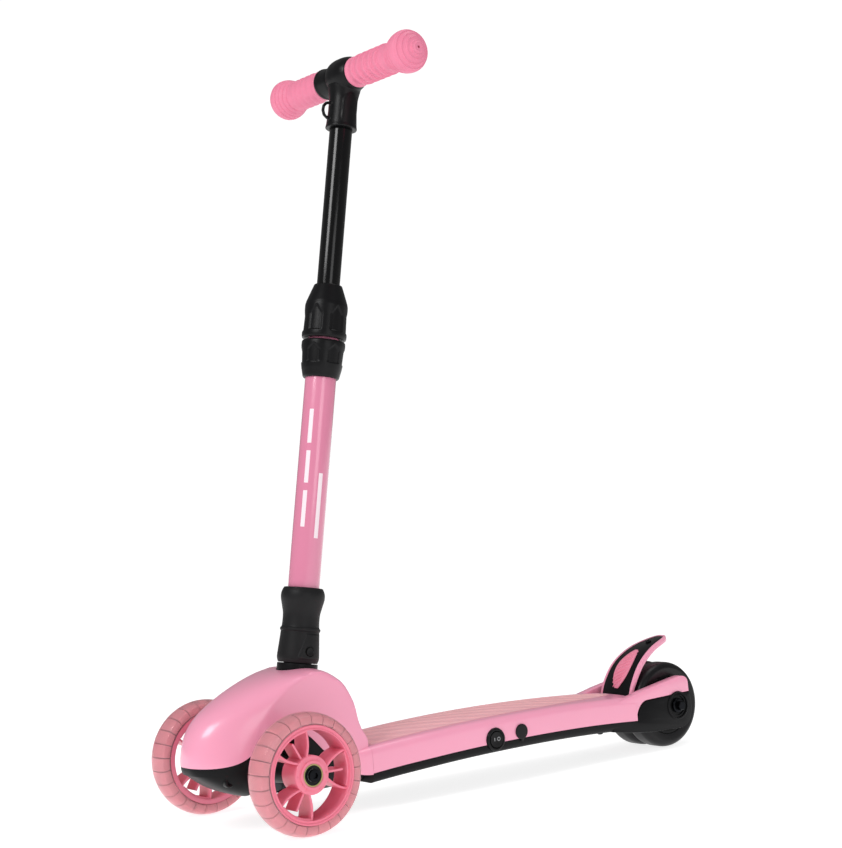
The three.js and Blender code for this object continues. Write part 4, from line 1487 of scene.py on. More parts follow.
    def build(self, shop: Workshop) -> None:
        """Makes the cover and both housings.

        Args:
            shop: makes and dresses the pieces.
        """
        post = rod(21.9, 30, 80, 96).placed(STEM)
        cover = make_object("front_cover_skin", self.body(0.0, self.tail))
        combine(cover, "DIFFERENCE", [self.body(self.wall, -113.5), self.below_hem(0.0), post],
                CRISP_HOUSING)
        shop.dress(cover, Finishes.PINK_SHELL, "chassis", ["front_cover"])
        flares = self.flare(Side.LEFT).with_more(self.flare(Side.RIGHT))
        shop.piece("cover_flares", flares.placed(HOME), Finishes.PINK_SHELL, "chassis")
        nose = self.lower("nose_housing_skin", 0.4, 0.3)
        low = self.lower("nose_housing_low", 2.6, 3.0)
        combine(nose, "DIFFERENCE", [self.below_hem(8.0)], CRISP_HOUSING)
        self.carve(nose, low, [], "UNION")
        combine(nose, "INTERSECT", [box_solid((22, -80, 0), (90, 80, 120)).placed(HOME)],
                CRISP_HOUSING)
        inner = make_object("nose_hollow", self.body(5.4, self.tail))
        combine(inner, "INTERSECT", [box_solid((25, -80, 20), (66, 80, 130)).placed(HOME)])
        bore = rod(11, 10, 42).placed(KINGPIN)
        self.carve(nose, inner, [bore])
        shop.dress(nose, Finishes.BLACK_SHELL, "chassis", ["nose_housing"])
        boss = Solid()
        for side in Side:
            at = spot(47, 0, 53) @ side.outward
            boss = boss.with_more(turned([(2.4, 22), (5.4, 22), (5.4, 33.4), (4.4, 34.2),
                                          (2.4, 34.2), (2.4, 31),
                                          (2.2, 31), (2.2, 22)], 0.3, 48).placed(at))
        shop.piece("nose_screw_bosses", boss, Finishes.BLACK_SATIN, "chassis")
        rear = self.lower("rear_housing_skin", 0.4, 0.3)
        combine(rear, "INTERSECT", [box_solid((-112.2, -80, 0), (-26, 80, 120)).placed(HOME)],
                CRISP_HOUSING)
        inner = make_object("rear_hollow", self.body(3.0, -113.5))
        combine(inner, "INTERSECT", [box_solid((-120, -80, 20), (-29, 80, 130)).placed(HOME)])
        bore = rod(13.5, -50, 0).placed(KINGPIN)
        slot = box_solid((-34, -15.5, 29), (-22, 15.5, 120)).placed(HOME)
        self.carve(rear, inner, [bore, slot])
        shop.dress(rear, Finishes.BLACK_SHELL, "chassis", ["rear_housing"])

    def flare(self, side: Side) -> Solid:
        """The flare that brings the cover's flank out to the deck's edge.

        Args:
            side: which side of the scooter.

        Returns:
            The solid.
        """
        rings = []
        for t in steps(0.0, 1.0, 28):
            x, half, high = -112.3 + 36.0 * t, 50.9 - 6.2 * smoothstep(t, 0.0, 1.0), 65.6 - 5.0 * t
            low = self.hem.height(x) + 0.5
            high = max(high, low + 9.0)
            side_line = [(40.0, low), (half - 0.6, low), (half, low + 0.6)]
            side_line += [(half - 8.0 + 8.0 * math.cos(a), high - 8.0 + 8.0 * math.sin(a))
                          for a in steps(0.0, math.pi / 2, 10)] + [(40.0, high)]
            rings.append([Vector((x, side.value * y, z)) for y, z in side_line])
        return loft(rings)

    def carve(self, made: bpy.types.Object, inner: bpy.types.Object, cutters: Sequence[Solid],
              operation: str = "DIFFERENCE") -> None:
        """Takes an inner body out of a housing, or adds it, and then takes some cutters out.

        Args:
            made: the object to change.
            inner: the body to take out or add.
            cutters: the solids to take out afterwards.
            operation: DIFFERENCE or UNION.
        """
        modifier = made.modifiers.new("hollow", "BOOLEAN")
        modifier.operation, modifier.solver, modifier.object = operation, "EXACT", inner
        bake_modifiers(made)
        bpy.data.objects.remove(inner)
        if cutters:
            combine(made, "DIFFERENCE", cutters, CRISP_HOUSING)


# ---- Steering truck --------------------------------------------------------------------------

@dataclass
class Truck:
    """The beam that leans to steer, with the two front axle bolts."""

    rows: tuple[tuple[float, float, float, float], ...] = (
        (-80, 10.5, 60, 2), (-66, 11, 60, 2), (-46, 13, 61.5, 2.6), (-20, 14, 65, 4),
        (0, 14, 66, 5),
        (20, 14, 65, 4), (46, 13, 61.5, 2.6), (66, 11, 60, 2), (80, 10.5, 60, 2))

    def build(self, shop: Workshop) -> None:
        """Makes the beam and the bolts.

        Args:
            shop: makes and dresses the pieces.
        """
        tilt = Matrix.Rotation(-KINGPIN_TILT, 4, "Y")
        rings = []
        for a, b in zip(self.rows, self.rows[1:]):
            for t in steps(0.0, 1.0, 7)[:-1]:
                y, half, z, power = (p + (q - p) * t for p, q in zip(a, b))
                rings.append(self.section(y, half, z, power, tilt))
        rings.append(self.section(*self.rows[-1], tilt))
        beam = make_object("truck_beam_skin", loft(rings).placed(HOME))
        bore = rod(5.3, -40, 40, 40).placed(KINGPIN)
        combine(beam, "DIFFERENCE", [bore])
        shop.dress(beam, Finishes.BLACK_SHELL, "truck", ["truck_beam"])
        for side in Side:
            at = spot(0, 0, FRONT_WHEEL_Z) @ side.outward
            shank = tube(0, 3.85, 54, 113.1, 0.3, 48)
            head = tube(0, 6.4, 112.9, 116.1, 0.5, 64)
            bolt = make_object(f"axle_bolt_skin_{side.word}", head.placed(at))
            socket = rod(3.2, 114.2, 118, 6).placed(at)
            combine(bolt, "DIFFERENCE", [socket])
            combine(bolt, "UNION", [shank.placed(at)])
            shop.dress(bolt, Finishes.BLACK_STEEL, "truck", [f"axle_bolt_{side.word}"])

    def section(self, y: float, half: float, z: float, power: float, tilt: Matrix) -> list[Vector]:
        """One section of the beam.

        Args:
            y: how far to the left, in millimetres.
            half: half its thickness.
            z: height above the ground, in millimetres.
            power: how square the section is.
            tilt: the turn given to the section.

        Returns:
            The section, as one closed ring.
        """
        points = []
        for k in range(40):
            c, s = math.cos(math.pi * k / 20), math.sin(math.pi * k / 20)
            flat = Vector((math.copysign(half * abs(c) ** (2 / power), c), 0,
                           math.copysign((half + 1) * abs(s) ** (2 / power), s)))
            points.append(tilt @ flat + Vector((0, y, z)))
        return points


# ---- Wheels ----------------------------------------------------------------------------------

@dataclass
class FrontWheel:
    """One front wheel: tulip-spoked core, blocks and clear tyre."""

    side: Side
    first_spoke: float = 180.0
    blocks: int = 25

    @property
    def at(self) -> Matrix:
        """The wheel's place, with Z pointing away from the scooter."""
        return spot(0, self.side.value * FRONT_WHEEL_Y, FRONT_WHEEL_Z) @ self.side.outward

    @property
    def hub(self) -> Vector:
        """The wheel's centre."""
        return self.at @ Vector((0, 0, 0))

    def loop(self) -> Solid:
        """One spoke: an even ribbon bent into a tulip shape, with a thin rib inside."""
        thick, wide, bevel = 2.3, 12.0, 0.7
        arm = bezier((15.0, -4.4), (26.5, -17.5), (40.0, -20.0), 18)[:-1]
        pairs = []
        for k, p in enumerate(arm):
            way = (Vector(arm[min(k + 1, len(arm) - 1)]) - Vector(arm[max(k - 1, 0)])).normalized()
            pairs.append((p, (p[0] - way.y * thick, p[1] + way.x * thick)))
        turn = [math.radians(a) for a in steps(-26.0, 0.0, 9)]
        pairs += [((44.0 * math.cos(a), 44.0 * math.sin(a)),
                   (41.2 * math.cos(a * 0.85), 41.2 * math.sin(a * 0.85))) for a in turn]
        pairs += [((ox, -oy), (ix, -iy)) for (ox, oy), (ix, iy) in reversed(pairs[:-1])]
        rings = []
        for outer, inner in pairs:
            o, i = Vector((*outer, 0)), Vector((*inner, 0))
            step = (i - o).normalized() * bevel
            corners = [(o, wide - bevel), (o + step, wide), (i - step, wide), (i, wide - bevel)]
            rings.append([p + Vector((0, 0, -h)) for p, h in corners]
                         + [p + Vector((0, 0, h)) for p, h in reversed(corners)])
        return loft(rings, closed=True).with_more(box_solid((17.5, -1.0, -9.5), (37.0, 1.0, 10.0)))

    def build(self, shop: Workshop) -> None:
        """Makes the wheel's pieces.

        Args:
            shop: makes and dresses the pieces.
        """
        word, body = self.side.word, f"front_wheel_{self.side.word}"
        rim = turned([(43.2, -14), (48, -14), (48, -12.5), (46.8, -11), (46.8, 11), (48, 12.5),
                      (48, 14),
                      (46.4, 14.2), (45.8, 13.2), (44.6, 13.2), (44, 14.2), (43.2, 14.2)], 0.5, 128)
        boss = turned([(11.0, 7.0), (11.0, 14.4), (11.6, 15), (14, 15), (14, 13), (18.2, 13),
                       (19, 12.2),
                       (19, -12.5), (14, -12.5), (14, -15), (11.0, -15), (11.0, -7), (6.5, -7),
                       (6.5, 7)],
                      0.45, 96)
        core = make_object(f"wheel_core_{word}", rim.with_more(boss).placed(self.at))
        shop.dress(core, Finishes.PINK_CORE, body, [f"front_core_{word}"])
        start = -math.radians(self.first_spoke)
        first = Matrix.Rotation(start if self.side is Side.LEFT else -start, 4, "Z")
        petals = make_object(f"wheel_spokes_{word}", self.loop().placed(self.at @ first))
        shop.repeat_round(petals, Finishes.PINK_CORE, 3, self.hub, (0, 1, 0), 120)
        shop.dress(petals, Finishes.PINK_CORE, body)
        mark = tube(0, 1.1, 12.8, 13.5, 0.2, 20).placed(
            Matrix.Translation((16.3, 0, 0)))
        marks = make_object(f"hub_marks_{word}", mark.placed(self.at))
        shop.repeat_round(marks, Finishes.PINK_LEAF, 6, self.hub, (0, 1, 0), 60)
        shop.dress(marks, Finishes.PINK_CORE, body)
        self.build_tyre(shop, word, body)
        for name, sign in (("outer", 1), ("inner", -1)):
            flip = self.at if sign > 0 else self.at @ Matrix.Rotation(math.pi, 4, "X")
            shop.bearing(f"wheel_bearing_{name}_{word}", 7.5, 14.5, flip, body,
                         f"front_bearing_{name}_{word}")

    def build_tyre(self, shop: Workshop, word: str, body: str) -> None:
        """Makes the clear tyre and the pale blocks inside it.

        Args:
            shop: makes and dresses the pieces.
            word: the side's name.
            body: the body that the pieces ride on.
        """
        profile = [(48.3, -14.2), (52, -15, 1.5), (57, -13, 3), (60, -5, 5), (60, 5, 5),
                   (57, 13, 3),
                   (52, 15, 1.5), (48.3, 14.2), (48.3, 12.7), (47.1, 11), (47.1, -11),
                   (48.3, -12.7)]
        shop.piece(f"tyre_skin_{word}", lathe(rounded(profile, 0.5, 6), 128).placed(self.at),
                   Finishes.TYRE_CLEAR, body, [f"front_tyre_{word}"], 50)
        gap = 360.0 / self.blocks
        rings = []
        for a in steps(-gap * 0.45, gap * 0.45, 6):
            turn = Matrix.Rotation(math.radians(a), 4, "Z")
            section = rounded([(49.0, -12.4), (55.6, -11.4), (57.4, -5), (57.4, 5), (55.6, 11.4),
                               (49.0, 12.4)],
                              1.2, 3)
            rings.append([turn @ Vector((r, 0, h)) for r, h in section])
        block = make_object(f"tyre_blocks_{word}", loft(rings).placed(self.at))
        shop.repeat_round(block, Finishes.TYRE_BLOCK, self.blocks, self.hub, (0, 1, 0), gap)
        shop.dress(block, Finishes.TYRE_BLOCK, body)


@dataclass
class RearWheel:
    """One of the twin rear wheels."""

    side: Side

    def build(self, shop: Workshop) -> None:
        """Makes the wheel's pieces.

        Args:
            shop: makes and dresses the pieces.
        """
        word, body = self.side.word, f"rear_wheel_{self.side.word}"
        half = 14.5
        at = spot(REAR_AXLE_X, self.side.value * 16.1, REAR_AXLE_Z) @ self.side.outward
        tyre = [(34.3, 1.4 - half), (44, -half, 2), (48, 2.6 - half, 3), (50, 7 - half, 4),
                (50, half - 7, 4),
                (48, half - 2.6, 3), (44, half, 2), (34.3, half - 1.4)]
        shop.piece(f"rear_tyre_skin_{word}", lathe(rounded(tyre, 0.5, 6), 128).placed(at),
                   Finishes.BLACK_TYRE, body, [f"rear_tyre_{word}"], 50)
        core = [(6.5, 1 - half), (14.5, 1 - half), (14.5, -4), (30, -4), (30, 1.5 - half),
                (34, 1.5 - half),
                (34, half - 1.5), (30, half - 1.5), (30, 4), (14.5, 4), (14.5, half), (11.1, half),
                (11.1, half - 7.4), (6.5, half - 7.4)]
        shop.piece(f"rear_core_skin_{word}", turned(core, 0.5, 96).placed(at),
                   Finishes.BLACK_SHELL, body,
                   [f"rear_core_{word}"])
        fin = prism([(14, 3.5), (30.6, 3.5), (30.6, 11.5), (14, 13)], -1.1, 1.1, 0.4)
        fins = make_object(f"rear_fins_{word}", fin.placed(at))
        shop.repeat_round(fins, Finishes.BLACK_SHELL, 10, at @ Vector((0, 0, 0)), (0, 1, 0), 36)
        shop.dress(fins, Finishes.BLACK_SHELL, body)
        shop.bearing(f"rear_bearing_skin_{word}", half - 7, half - 0.2, at, body,
                     f"rear_bearing_{word}")


@dataclass
class RearAxle:
    """The rear axle bolt and nut."""

    def build(self, shop: Workshop) -> None:
        """Makes the bolt and the nut.

        Args:
            shop: makes and dresses the pieces.
        """
        at = spot(REAR_AXLE_X, 0, REAR_AXLE_Z) @ TO_LEFT
        shank = tube(0, 3.85, -51.5, 46.5, 0.4, 48)
        washer = turned([(0, 45.2), (8.5, 45.2), (8.5, 47.4), (7.4, 48.6), (0, 48.6)], 0.4, 64)
        head = lathe([(0, 48.4), (5.6, 48.4), (5.6, 53.3), (4.9, 54), (0, 54)], 6)
        shop.piece("rear_axle_bolt_skin", shank.with_more(washer, head).placed(at),
                   Finishes.BLACK_STEEL,
                   "chassis", ["rear_axle_bolt"])
        rings = Solid()
        for side in Side:
            raised = turned([(14.2, 45.4), (16.6, 45.4), (16.6, 46.9), (15.8, 47.4), (14.2, 47.4)],
                            0.3, 80)
            rings = rings.with_more(raised.placed(spot(REAR_AXLE_X, 0, REAR_AXLE_Z) @ side.outward))
        shop.piece("axle_rings", rings, Finishes.BLACK_SHELL, "chassis")
        nut = lathe([(4.15, -53), (7.4, -53), (8, -52.3), (8, -47), (7.4, -46.3), (4.15, -46.3)], 6)
        shop.piece("rear_axle_nut_skin", nut.placed(at), Finishes.BLACK_STEEL, "chassis",
                   ["rear_axle_nut"])


# ---- Foot brake ------------------------------------------------------------------------------

@dataclass
class Brake:
    """The foot brake flap that presses on the twin rear wheels."""

    widest: float = 26.5
    leaf_widest: float = 12.0
    line: Spline = Spline(((-499.5, 63), (-507, 82), (-523, 103), (-549, 119), (-584, 129)))

    def half(self, u: float) -> float:
        """Half the flap's width at u along it."""
        return self.widest * math.sqrt(1.0 - (0.985 * u) ** 2.6)

    def place(self, u: float, y: float, out: float) -> Vector:
        """A point on the flap: u along, y across and out from its face."""
        at, way = self.line.at(u), self.line.along(u)
        return Vector((at.x + way.y * out, y, at.y - way.x * out))

    def strip(self, start: float, end: float, half_of: Callable[[float], float], low: float,
              high: float, edge: float = 0.0, bend: float = 1.0, thin: float = 0.0) -> Solid:
        """A strip on the flap's face between two depths.

        Args:
            start: where it starts along the flap.
            end: where it ends.
            half_of: half its width along the flap.
            low: depth of its back.
            high: depth of its face.
            edge: size of its softened edge.
            bend: above 1, more sections lie near the end.
            thin: how much higher its back lies at the root.

        Returns:
            The solid.
        """
        rings = []
        for t in steps(0.0, 1.0, 56):
            u = start + (end - start) * (1.0 - (1.0 - t) ** bend)
            back = low + thin * (1.0 - smoothstep(u, 0.0, 0.45))
            h, e = half_of(u), min(edge, half_of(u) * 0.5)
            side = [(h - e, back), (h - e * 0.3, back + e * 0.3), (h, back + e), (h, high - e),
                    (h - e * 0.3, high - e * 0.3), (h - e, high)]
            rings.append([self.place(u, y, d) for y, d in side]
                         + [self.place(u, -y, d) for y, d in reversed(side)])
        return loft(rings)

    def leaf_half(self, u: float) -> float:
        """Half the width of the ribbed inlay."""
        return self.leaf_widest * math.sin(math.pi * clamp((u - 0.14) / 0.56, 0.03, 0.97)) ** 0.7

    def build(self, shop: Workshop) -> None:
        """Makes the flap, its plate, inlay and screw.

        Args:
            shop: makes and dresses the pieces.
        """
        flap = make_object("brake_flap",
                           self.strip(0.0, 1.0, self.half, -6, 0, 1.1, 1.8, 1.8).placed(HOME))
        pin = spot(BRAKE_PIN_X, 0, BRAKE_PIN_Z) @ TO_LEFT
        combine(flap, "UNION", [tube(0, 4.1, -26, 26, 0.6, 64).placed(pin)])
        tray = self.strip(0.02, 0.965, lambda u: max(self.half(u) - 3.6, 0.5), -1.8, 3).placed(HOME)
        combine(flap, "DIFFERENCE", [tray, rod(2.3, -40, 40, 40).placed(pin)])
        shop.dress(flap, Finishes.PINK_SHELL, "brake", ["brake_fender"])
        shop.piece("brake_plate_skin",
                   self.strip(0.026, 0.96, lambda u: max(self.half(u) - 3.9, 0.4), -1.5,
                              -0.2, 0.3).placed(HOME), Finishes.BLACK_SATIN, "brake",
                   ["brake_plate"])
        shop.piece("brake_leaf_skin",
                   self.strip(0.16, 0.68, self.leaf_half, 0.0, 1.0, 0.4).placed(HOME),
                   Finishes.PINK_LEAF, "brake", ["brake_leaf"])
        self.build_ribs(shop)
        screw = turned([(0, 0.0), (3.6, 0.0), (3.6, 1.1), (2.8, 1.9), (0, 1.9)], 0.3, 48)
        at, way = self.line.at(0.83), self.line.along(0.83)
        lean = Matrix.Rotation(-(math.atan2(way.y, way.x) + math.pi), 4, "Y")
        seat = spot(at.x, 0, at.y) @ lean
        head = make_object("brake_screw_skin", screw.placed(seat))
        combine(head, "DIFFERENCE", [rod(1.6, 1.0, 3, 6).placed(seat)])
        shop.dress(head, Finishes.BLACK_STEEL, "brake", ["brake_screw"])

    def build_ribs(self, shop: Workshop) -> None:
        """Makes the slanted ribs across the inlay.

        Args:
            shop: makes and dresses the pieces.
        """
        ribs, slant, along = Solid(), 0.055, 0.0115
        for middle in steps(0.235, 0.60, 8):
            width = self.leaf_half(middle) - 1.6
            rings = []
            for t in steps(-1.0, 1.0, 15):
                u, y = middle + slant * t, width * t
                swell = 1.15 * math.sqrt(max(1.0 - t ** 4, 0.03))
                rings.append([self.place(u - along, y, 0.8),
                              self.place(u - along * 0.5, y, 0.95 + swell * 0.8),
                              self.place(u, y, 0.95 + swell),
                              self.place(u + along * 0.5, y, 0.95 + swell * 0.8),
                              self.place(u + along, y, 0.8)])
            ribs = ribs.with_more(loft(rings))
        shop.piece("brake_leaf_ribs", ribs.placed(HOME), Finishes.PINK_LEAF, "brake", sharp=60)


# ---- Switch and charging port ----------------------------------------------------------------

@dataclass
class SideFittings:
    """The rocker switch and the charging port's cover on the deck's left side."""

    deck: Deck

    def build(self, shop: Workshop) -> None:
        """Makes the bezel, the rocker and the cover.

        Args:
            shop: makes and dresses the pieces.
        """
        x, z, _ = self.deck.switch
        at = spot(x, self.deck.half(x), z) @ TO_LEFT
        bezel = [(0, -8), (12.4, -8), (12.4, 1.2), (11.6, 2.4, 0.8), (9.5, 2.4, 0.5), (9.2, 1.2),
                 (9.2, -6),
                 (0, -6)]
        shop.piece("switch_bezel_skin", turned(bezel, 0.4, 96).placed(at), Finishes.BLACK_SATIN,
                   "chassis",
                   ["switch_bezel"])
        button = make_object("switch_rocker_skin", self.rocker().placed(at))
        shop.dress(button, Finishes.BLACK_SATIN, "rocker", ["switch_rocker"])
        bar = prism(rounded([(-0.5, -1.8), (0.5, -1.8), (0.5, 1.8), (-0.5, 1.8)], 0.3, 3), 0.0,
                    0.3, 0.1)
        ring = lathe([(1.5, 0), (2.2, 0), (2.2, 0.3), (1.5, 0.3)], 40)
        upright = spot(x, self.deck.half(x) + 2.2, z)
        mark = bar.placed(upright @ Matrix.Translation((2.6, -0.15, 0.4)))
        dot = ring.placed(upright @ Matrix.Translation((-3.0, -0.15, 0.4)) @ TO_LEFT)
        shop.piece("switch_marks", mark.with_more(dot), Finishes.MARK, "rocker")
        x, z, _ = self.deck.port
        at = spot(x, self.deck.half(x), z) @ TO_LEFT
        cap = make_object("port_cover_skin",
                          turned([(0, 0.4), (8.3, 0.4), (8.3, 1.5), (7.4, 2.2, 0.8),
                                  (0, 2.0)], 0.3, 72).placed(at))
        tab = prism(rounded([(-1.6, -10.4), (1.6, -10.4), (1.6, -6), (-1.6, -6)], 0.8, 4), 0.4,
                    2.0, 0.3)
        combine(cap, "UNION", [tab.placed(spot(x, self.deck.half(x), z))])
        shop.dress(cap, Finishes.BLACK_RUBBER, "port_flap", ["port_cover"])

    def rocker(self) -> Solid:
        """The round button with its shallow dished face."""
        return lathe(rounded([(0, -2.2), (8.6, -2.2), (8.6, 2.8, 0.5), (5.0, 2.3), (0, 2.2)], 0.6,
                             5,
                             closed=False), 72)


# ---- Handlebar stem --------------------------------------------------------------------------

@dataclass
class Stem:
    """The tubes, the twist collar and the rubber sleeve at the stem's foot."""

    button_s: float = 69.0

    @property
    def axis(self) -> Triple:
        """Direction up the stem."""
        return tuple((STEM.to_3x3() @ Vector((0, 0, 1))).normalized())

    @property
    def front(self) -> Triple:
        """Direction forward from the stem."""
        return tuple((STEM.to_3x3() @ Vector((1, 0, 0))).normalized())

    def press(self, made: bpy.types.Object, shop: Workshop, finish: Finishes, low: float,
              high: float,
              skin: float, width: float, depth: float, point: float) -> None:
        """Presses six pointed windows into a turned body.

        Args:
            made: the object to change.
            shop: makes and dresses the pieces.
            finish: its finish.
            low: height of their lower edge.
            high: height of their point.
            skin: radius below which nothing moves.
            width: share of each sixth that a window takes.
            depth: how deep the windows are.
            point: length of the pointed end.
        """
        foot = STEM @ Vector((0, 0, 0))
        apply_tree(made, shop.patterns.windows, Foot=tuple(foot * MM), Axis=self.axis,
                   Side=self.front,
                   Count=6.0, Low=low * MM, High=high * MM, Width=width, Depth=depth * MM,
                   Skin=skin * MM,
                   Point=point * MM, Material=shop.paint.material(finish))
        settle(made, 40)

    def fine(self, profile: Sequence[Sequence[float]], rounding: float, segments: int) -> Solid:
        """A turned body whose profile is split finely, so that it can be pressed.

        Args:
            profile: closed outline of (radius, height).
            rounding: how far back from each corner the rounding starts.
            segments: how many steps round.

        Returns:
            The solid.
        """
        line = rounded(profile, rounding)
        dense: list[Pair] = []
        for a, b in zip(line, line[1:] + line[:1]):
            count = max(1, int(math.dist(a, b) / 0.8))
            dense += [(a[0] + (b[0] - a[0]) * k / count, a[1] + (b[1] - a[1]) * k / count)
                      for k in range(count)]
        return lathe(dense, segments)

    def build(self, shop: Workshop) -> None:
        """Makes the stem's pieces, from the foot up.

        Args:
            shop: makes and dresses the pieces.
        """
        shop.piece("socket_ring_skin", tube(15.1, 21.2, 46, 56.4, 0.9, 96)
                   .placed(STEM), Finishes.BLACK_SHELL, "chassis", ["socket_ring"])
        self.build_sleeve(shop)
        shop.piece("lower_tube_skin", tube(14.95, 16.5, 57.2, 430, 0.4, 128).placed(STEM),
                   Finishes.PINK_PAINT, "stem", ["lower_tube"])
        stripes = Solid()
        for start, end, low, high in ((26, 42, 197, 235), (26, 42, 243, 277), (26, 42, 285, 321),
                                      (80, 96, 186, 254)):
            stripes = stripes.with_more(self.patch(start, end, low, high))
        shop.piece("tube_stripes", stripes.placed(STEM), Finishes.PRINT, "stem", sharp=50)
        lower = make_object("collar_lower_skin", self.fine(
            [(16.8, 355.6), (18.4, 355.6), (19.4, 357), (21.4, 366), (22.3, 372), (23.3, 390),
             (23.2, 394),
             (22.4, 395.7), (16.8, 395.7)], 1.2, 144).placed(STEM))
        self.press(lower, shop, Finishes.BLACK_SATIN, 371, 391, 20.5, 0.66, 1.0, 7)
        shop.dress(lower, Finishes.BLACK_SATIN, "stem", ["collar_lower"])
        nut = make_object("collar_nut_skin", self.fine(
            [(16.8, 398.1), (23.4, 398.1), (23.9, 401), (22.8, 434), (22, 437.5), (18.9, 446),
             (15.4, 455.4),
             (14.8, 456.7), (12.8, 456.7), (12.8, 444), (16.8, 441)], 1.0, 144).placed(STEM))
        self.press(nut, shop, Finishes.BLACK_SATIN, 405, 433, 21, 0.62, 1.1, 10)
        shop.dress(nut, Finishes.BLACK_SATIN, "collar", ["collar_nut"])
        shop.piece("upper_tube_skin", tube(10.9, 12.3, 276, 664, 0.3, 112)
                   .placed(STEM), Finishes.BLACK_PAINT, "handlebar", ["upper_tube"])

    def patch(self, start: float, end: float, low: float, high: float) -> Solid:
        """A thin printed patch on the lower tube, between two angles and two heights.

        Args:
            start: first angle, in degrees.
            end: last angle, in degrees.
            low: lower height.
            high: upper height.

        Returns:
            The solid.
        """
        rings = []
        for s in (low, high):
            angles = [math.radians(a) for a in steps(start, end, 16)]
            rings.append(band(16.42, 16.57, angles, s))
        return loft(rings)

    def build_sleeve(self, shop: Workshop) -> None:
        """Makes the waisted rubber sleeve, its raised panel and the snap button.

        Args:
            shop: makes and dresses the pieces.
        """
        outside = Spline(((20.6, 57.2), (21.9, 62), (21.5, 70), (20.7, 80), (20.0, 90), (19.3, 98),
                          (19.4, 107), (21.0, 115), (22.8, 123), (22.6, 129), (20.4, 134.2)))
        bead = [(20.05, 89.2), (20.9, 90.0), (21.1, 91.2), (20.9, 92.4), (19.9, 93.2)]
        line = [p for p in outside.line(90) if not 89.0 < p[1] < 93.3]
        line = sorted(line + bead, key=lambda p: p[1])
        profile = [(16.9, 56.9), (20.0, 56.9)] + line + [(19.2, 134.6), (16.9, 134.6)]
        sleeve = make_object("base_sleeve_skin", lathe(profile, 120).placed(STEM))
        hole = rod(4.8, 10, 30)
        at = STEM @ Matrix.Translation((0, 0, self.button_s)) @ TO_LEFT
        combine(sleeve, "DIFFERENCE", [hole.placed(at)])
        shop.dress(sleeve, Finishes.BLACK_RUBBER, "stem", ["base_sleeve"])
        shop.piece("sleeve_panel", self.panel(outside), Finishes.BLACK_RUBBER, "stem", sharp=45)
        shop.piece("release_button_skin",
                   turned([(0, 18.4), (4.5, 18.4), (4.5, 23, 0.8), (2.6, 22.7), (0, 22.6)],
                          0.4, 48).placed(at), Finishes.BLACK_SATIN, "release",
                   ["release_button"])

    def panel(self, outside: Spline) -> Solid:
        """The slightly raised panel with a slanted edge round the snap button.

        Args:
            outside: the sleeve's outline.

        Returns:
            The solid.
        """
        profile = sorted(outside.line(160), key=lambda p: p[1])

        def radius(s: float) -> float:
            """The sleeve's radius at s."""
            return min(profile, key=lambda p: abs(p[1] - s))[0]

        columns, rows = 40, 30
        rings = []
        for s in steps(60.5, 87.5, rows):
            lean = math.radians(54 + (s - 60.5) * 0.9)
            right = math.radians(138)
            outer, inner = [], []
            for k, a in enumerate(steps(lean, right, columns)):
                rim = min(k, columns - 1 - k) / 3.0
                rise = 0.7 * math.sqrt(clamp(rim)) if 60.9 < s < 87.1 else 0.0
                place = radius(s)
                outer.append(Vector(((place + rise) * math.cos(a), (place + rise) * math.sin(a),
                                     s)))
                inner.append(Vector(((place - 0.5) * math.cos(a), (place - 0.5) * math.sin(a), s)))
            rings.append(outer + inner[::-1])
        hole = rod(5.4, 10, 30).placed(
            Matrix.Translation((0, 0, self.button_s)) @ TO_LEFT)
        made = make_object("panel_blank", loft(rings))
        combine(made, "DIFFERENCE", [hole])
        result = Solid([v.co / MM for v in made.data.vertices],
                       [tuple(p.vertices) for p in made.data.polygons])
        bpy.data.objects.remove(made)
        return result.placed(STEM)


# ---- Handlebar -------------------------------------------------------------------------------

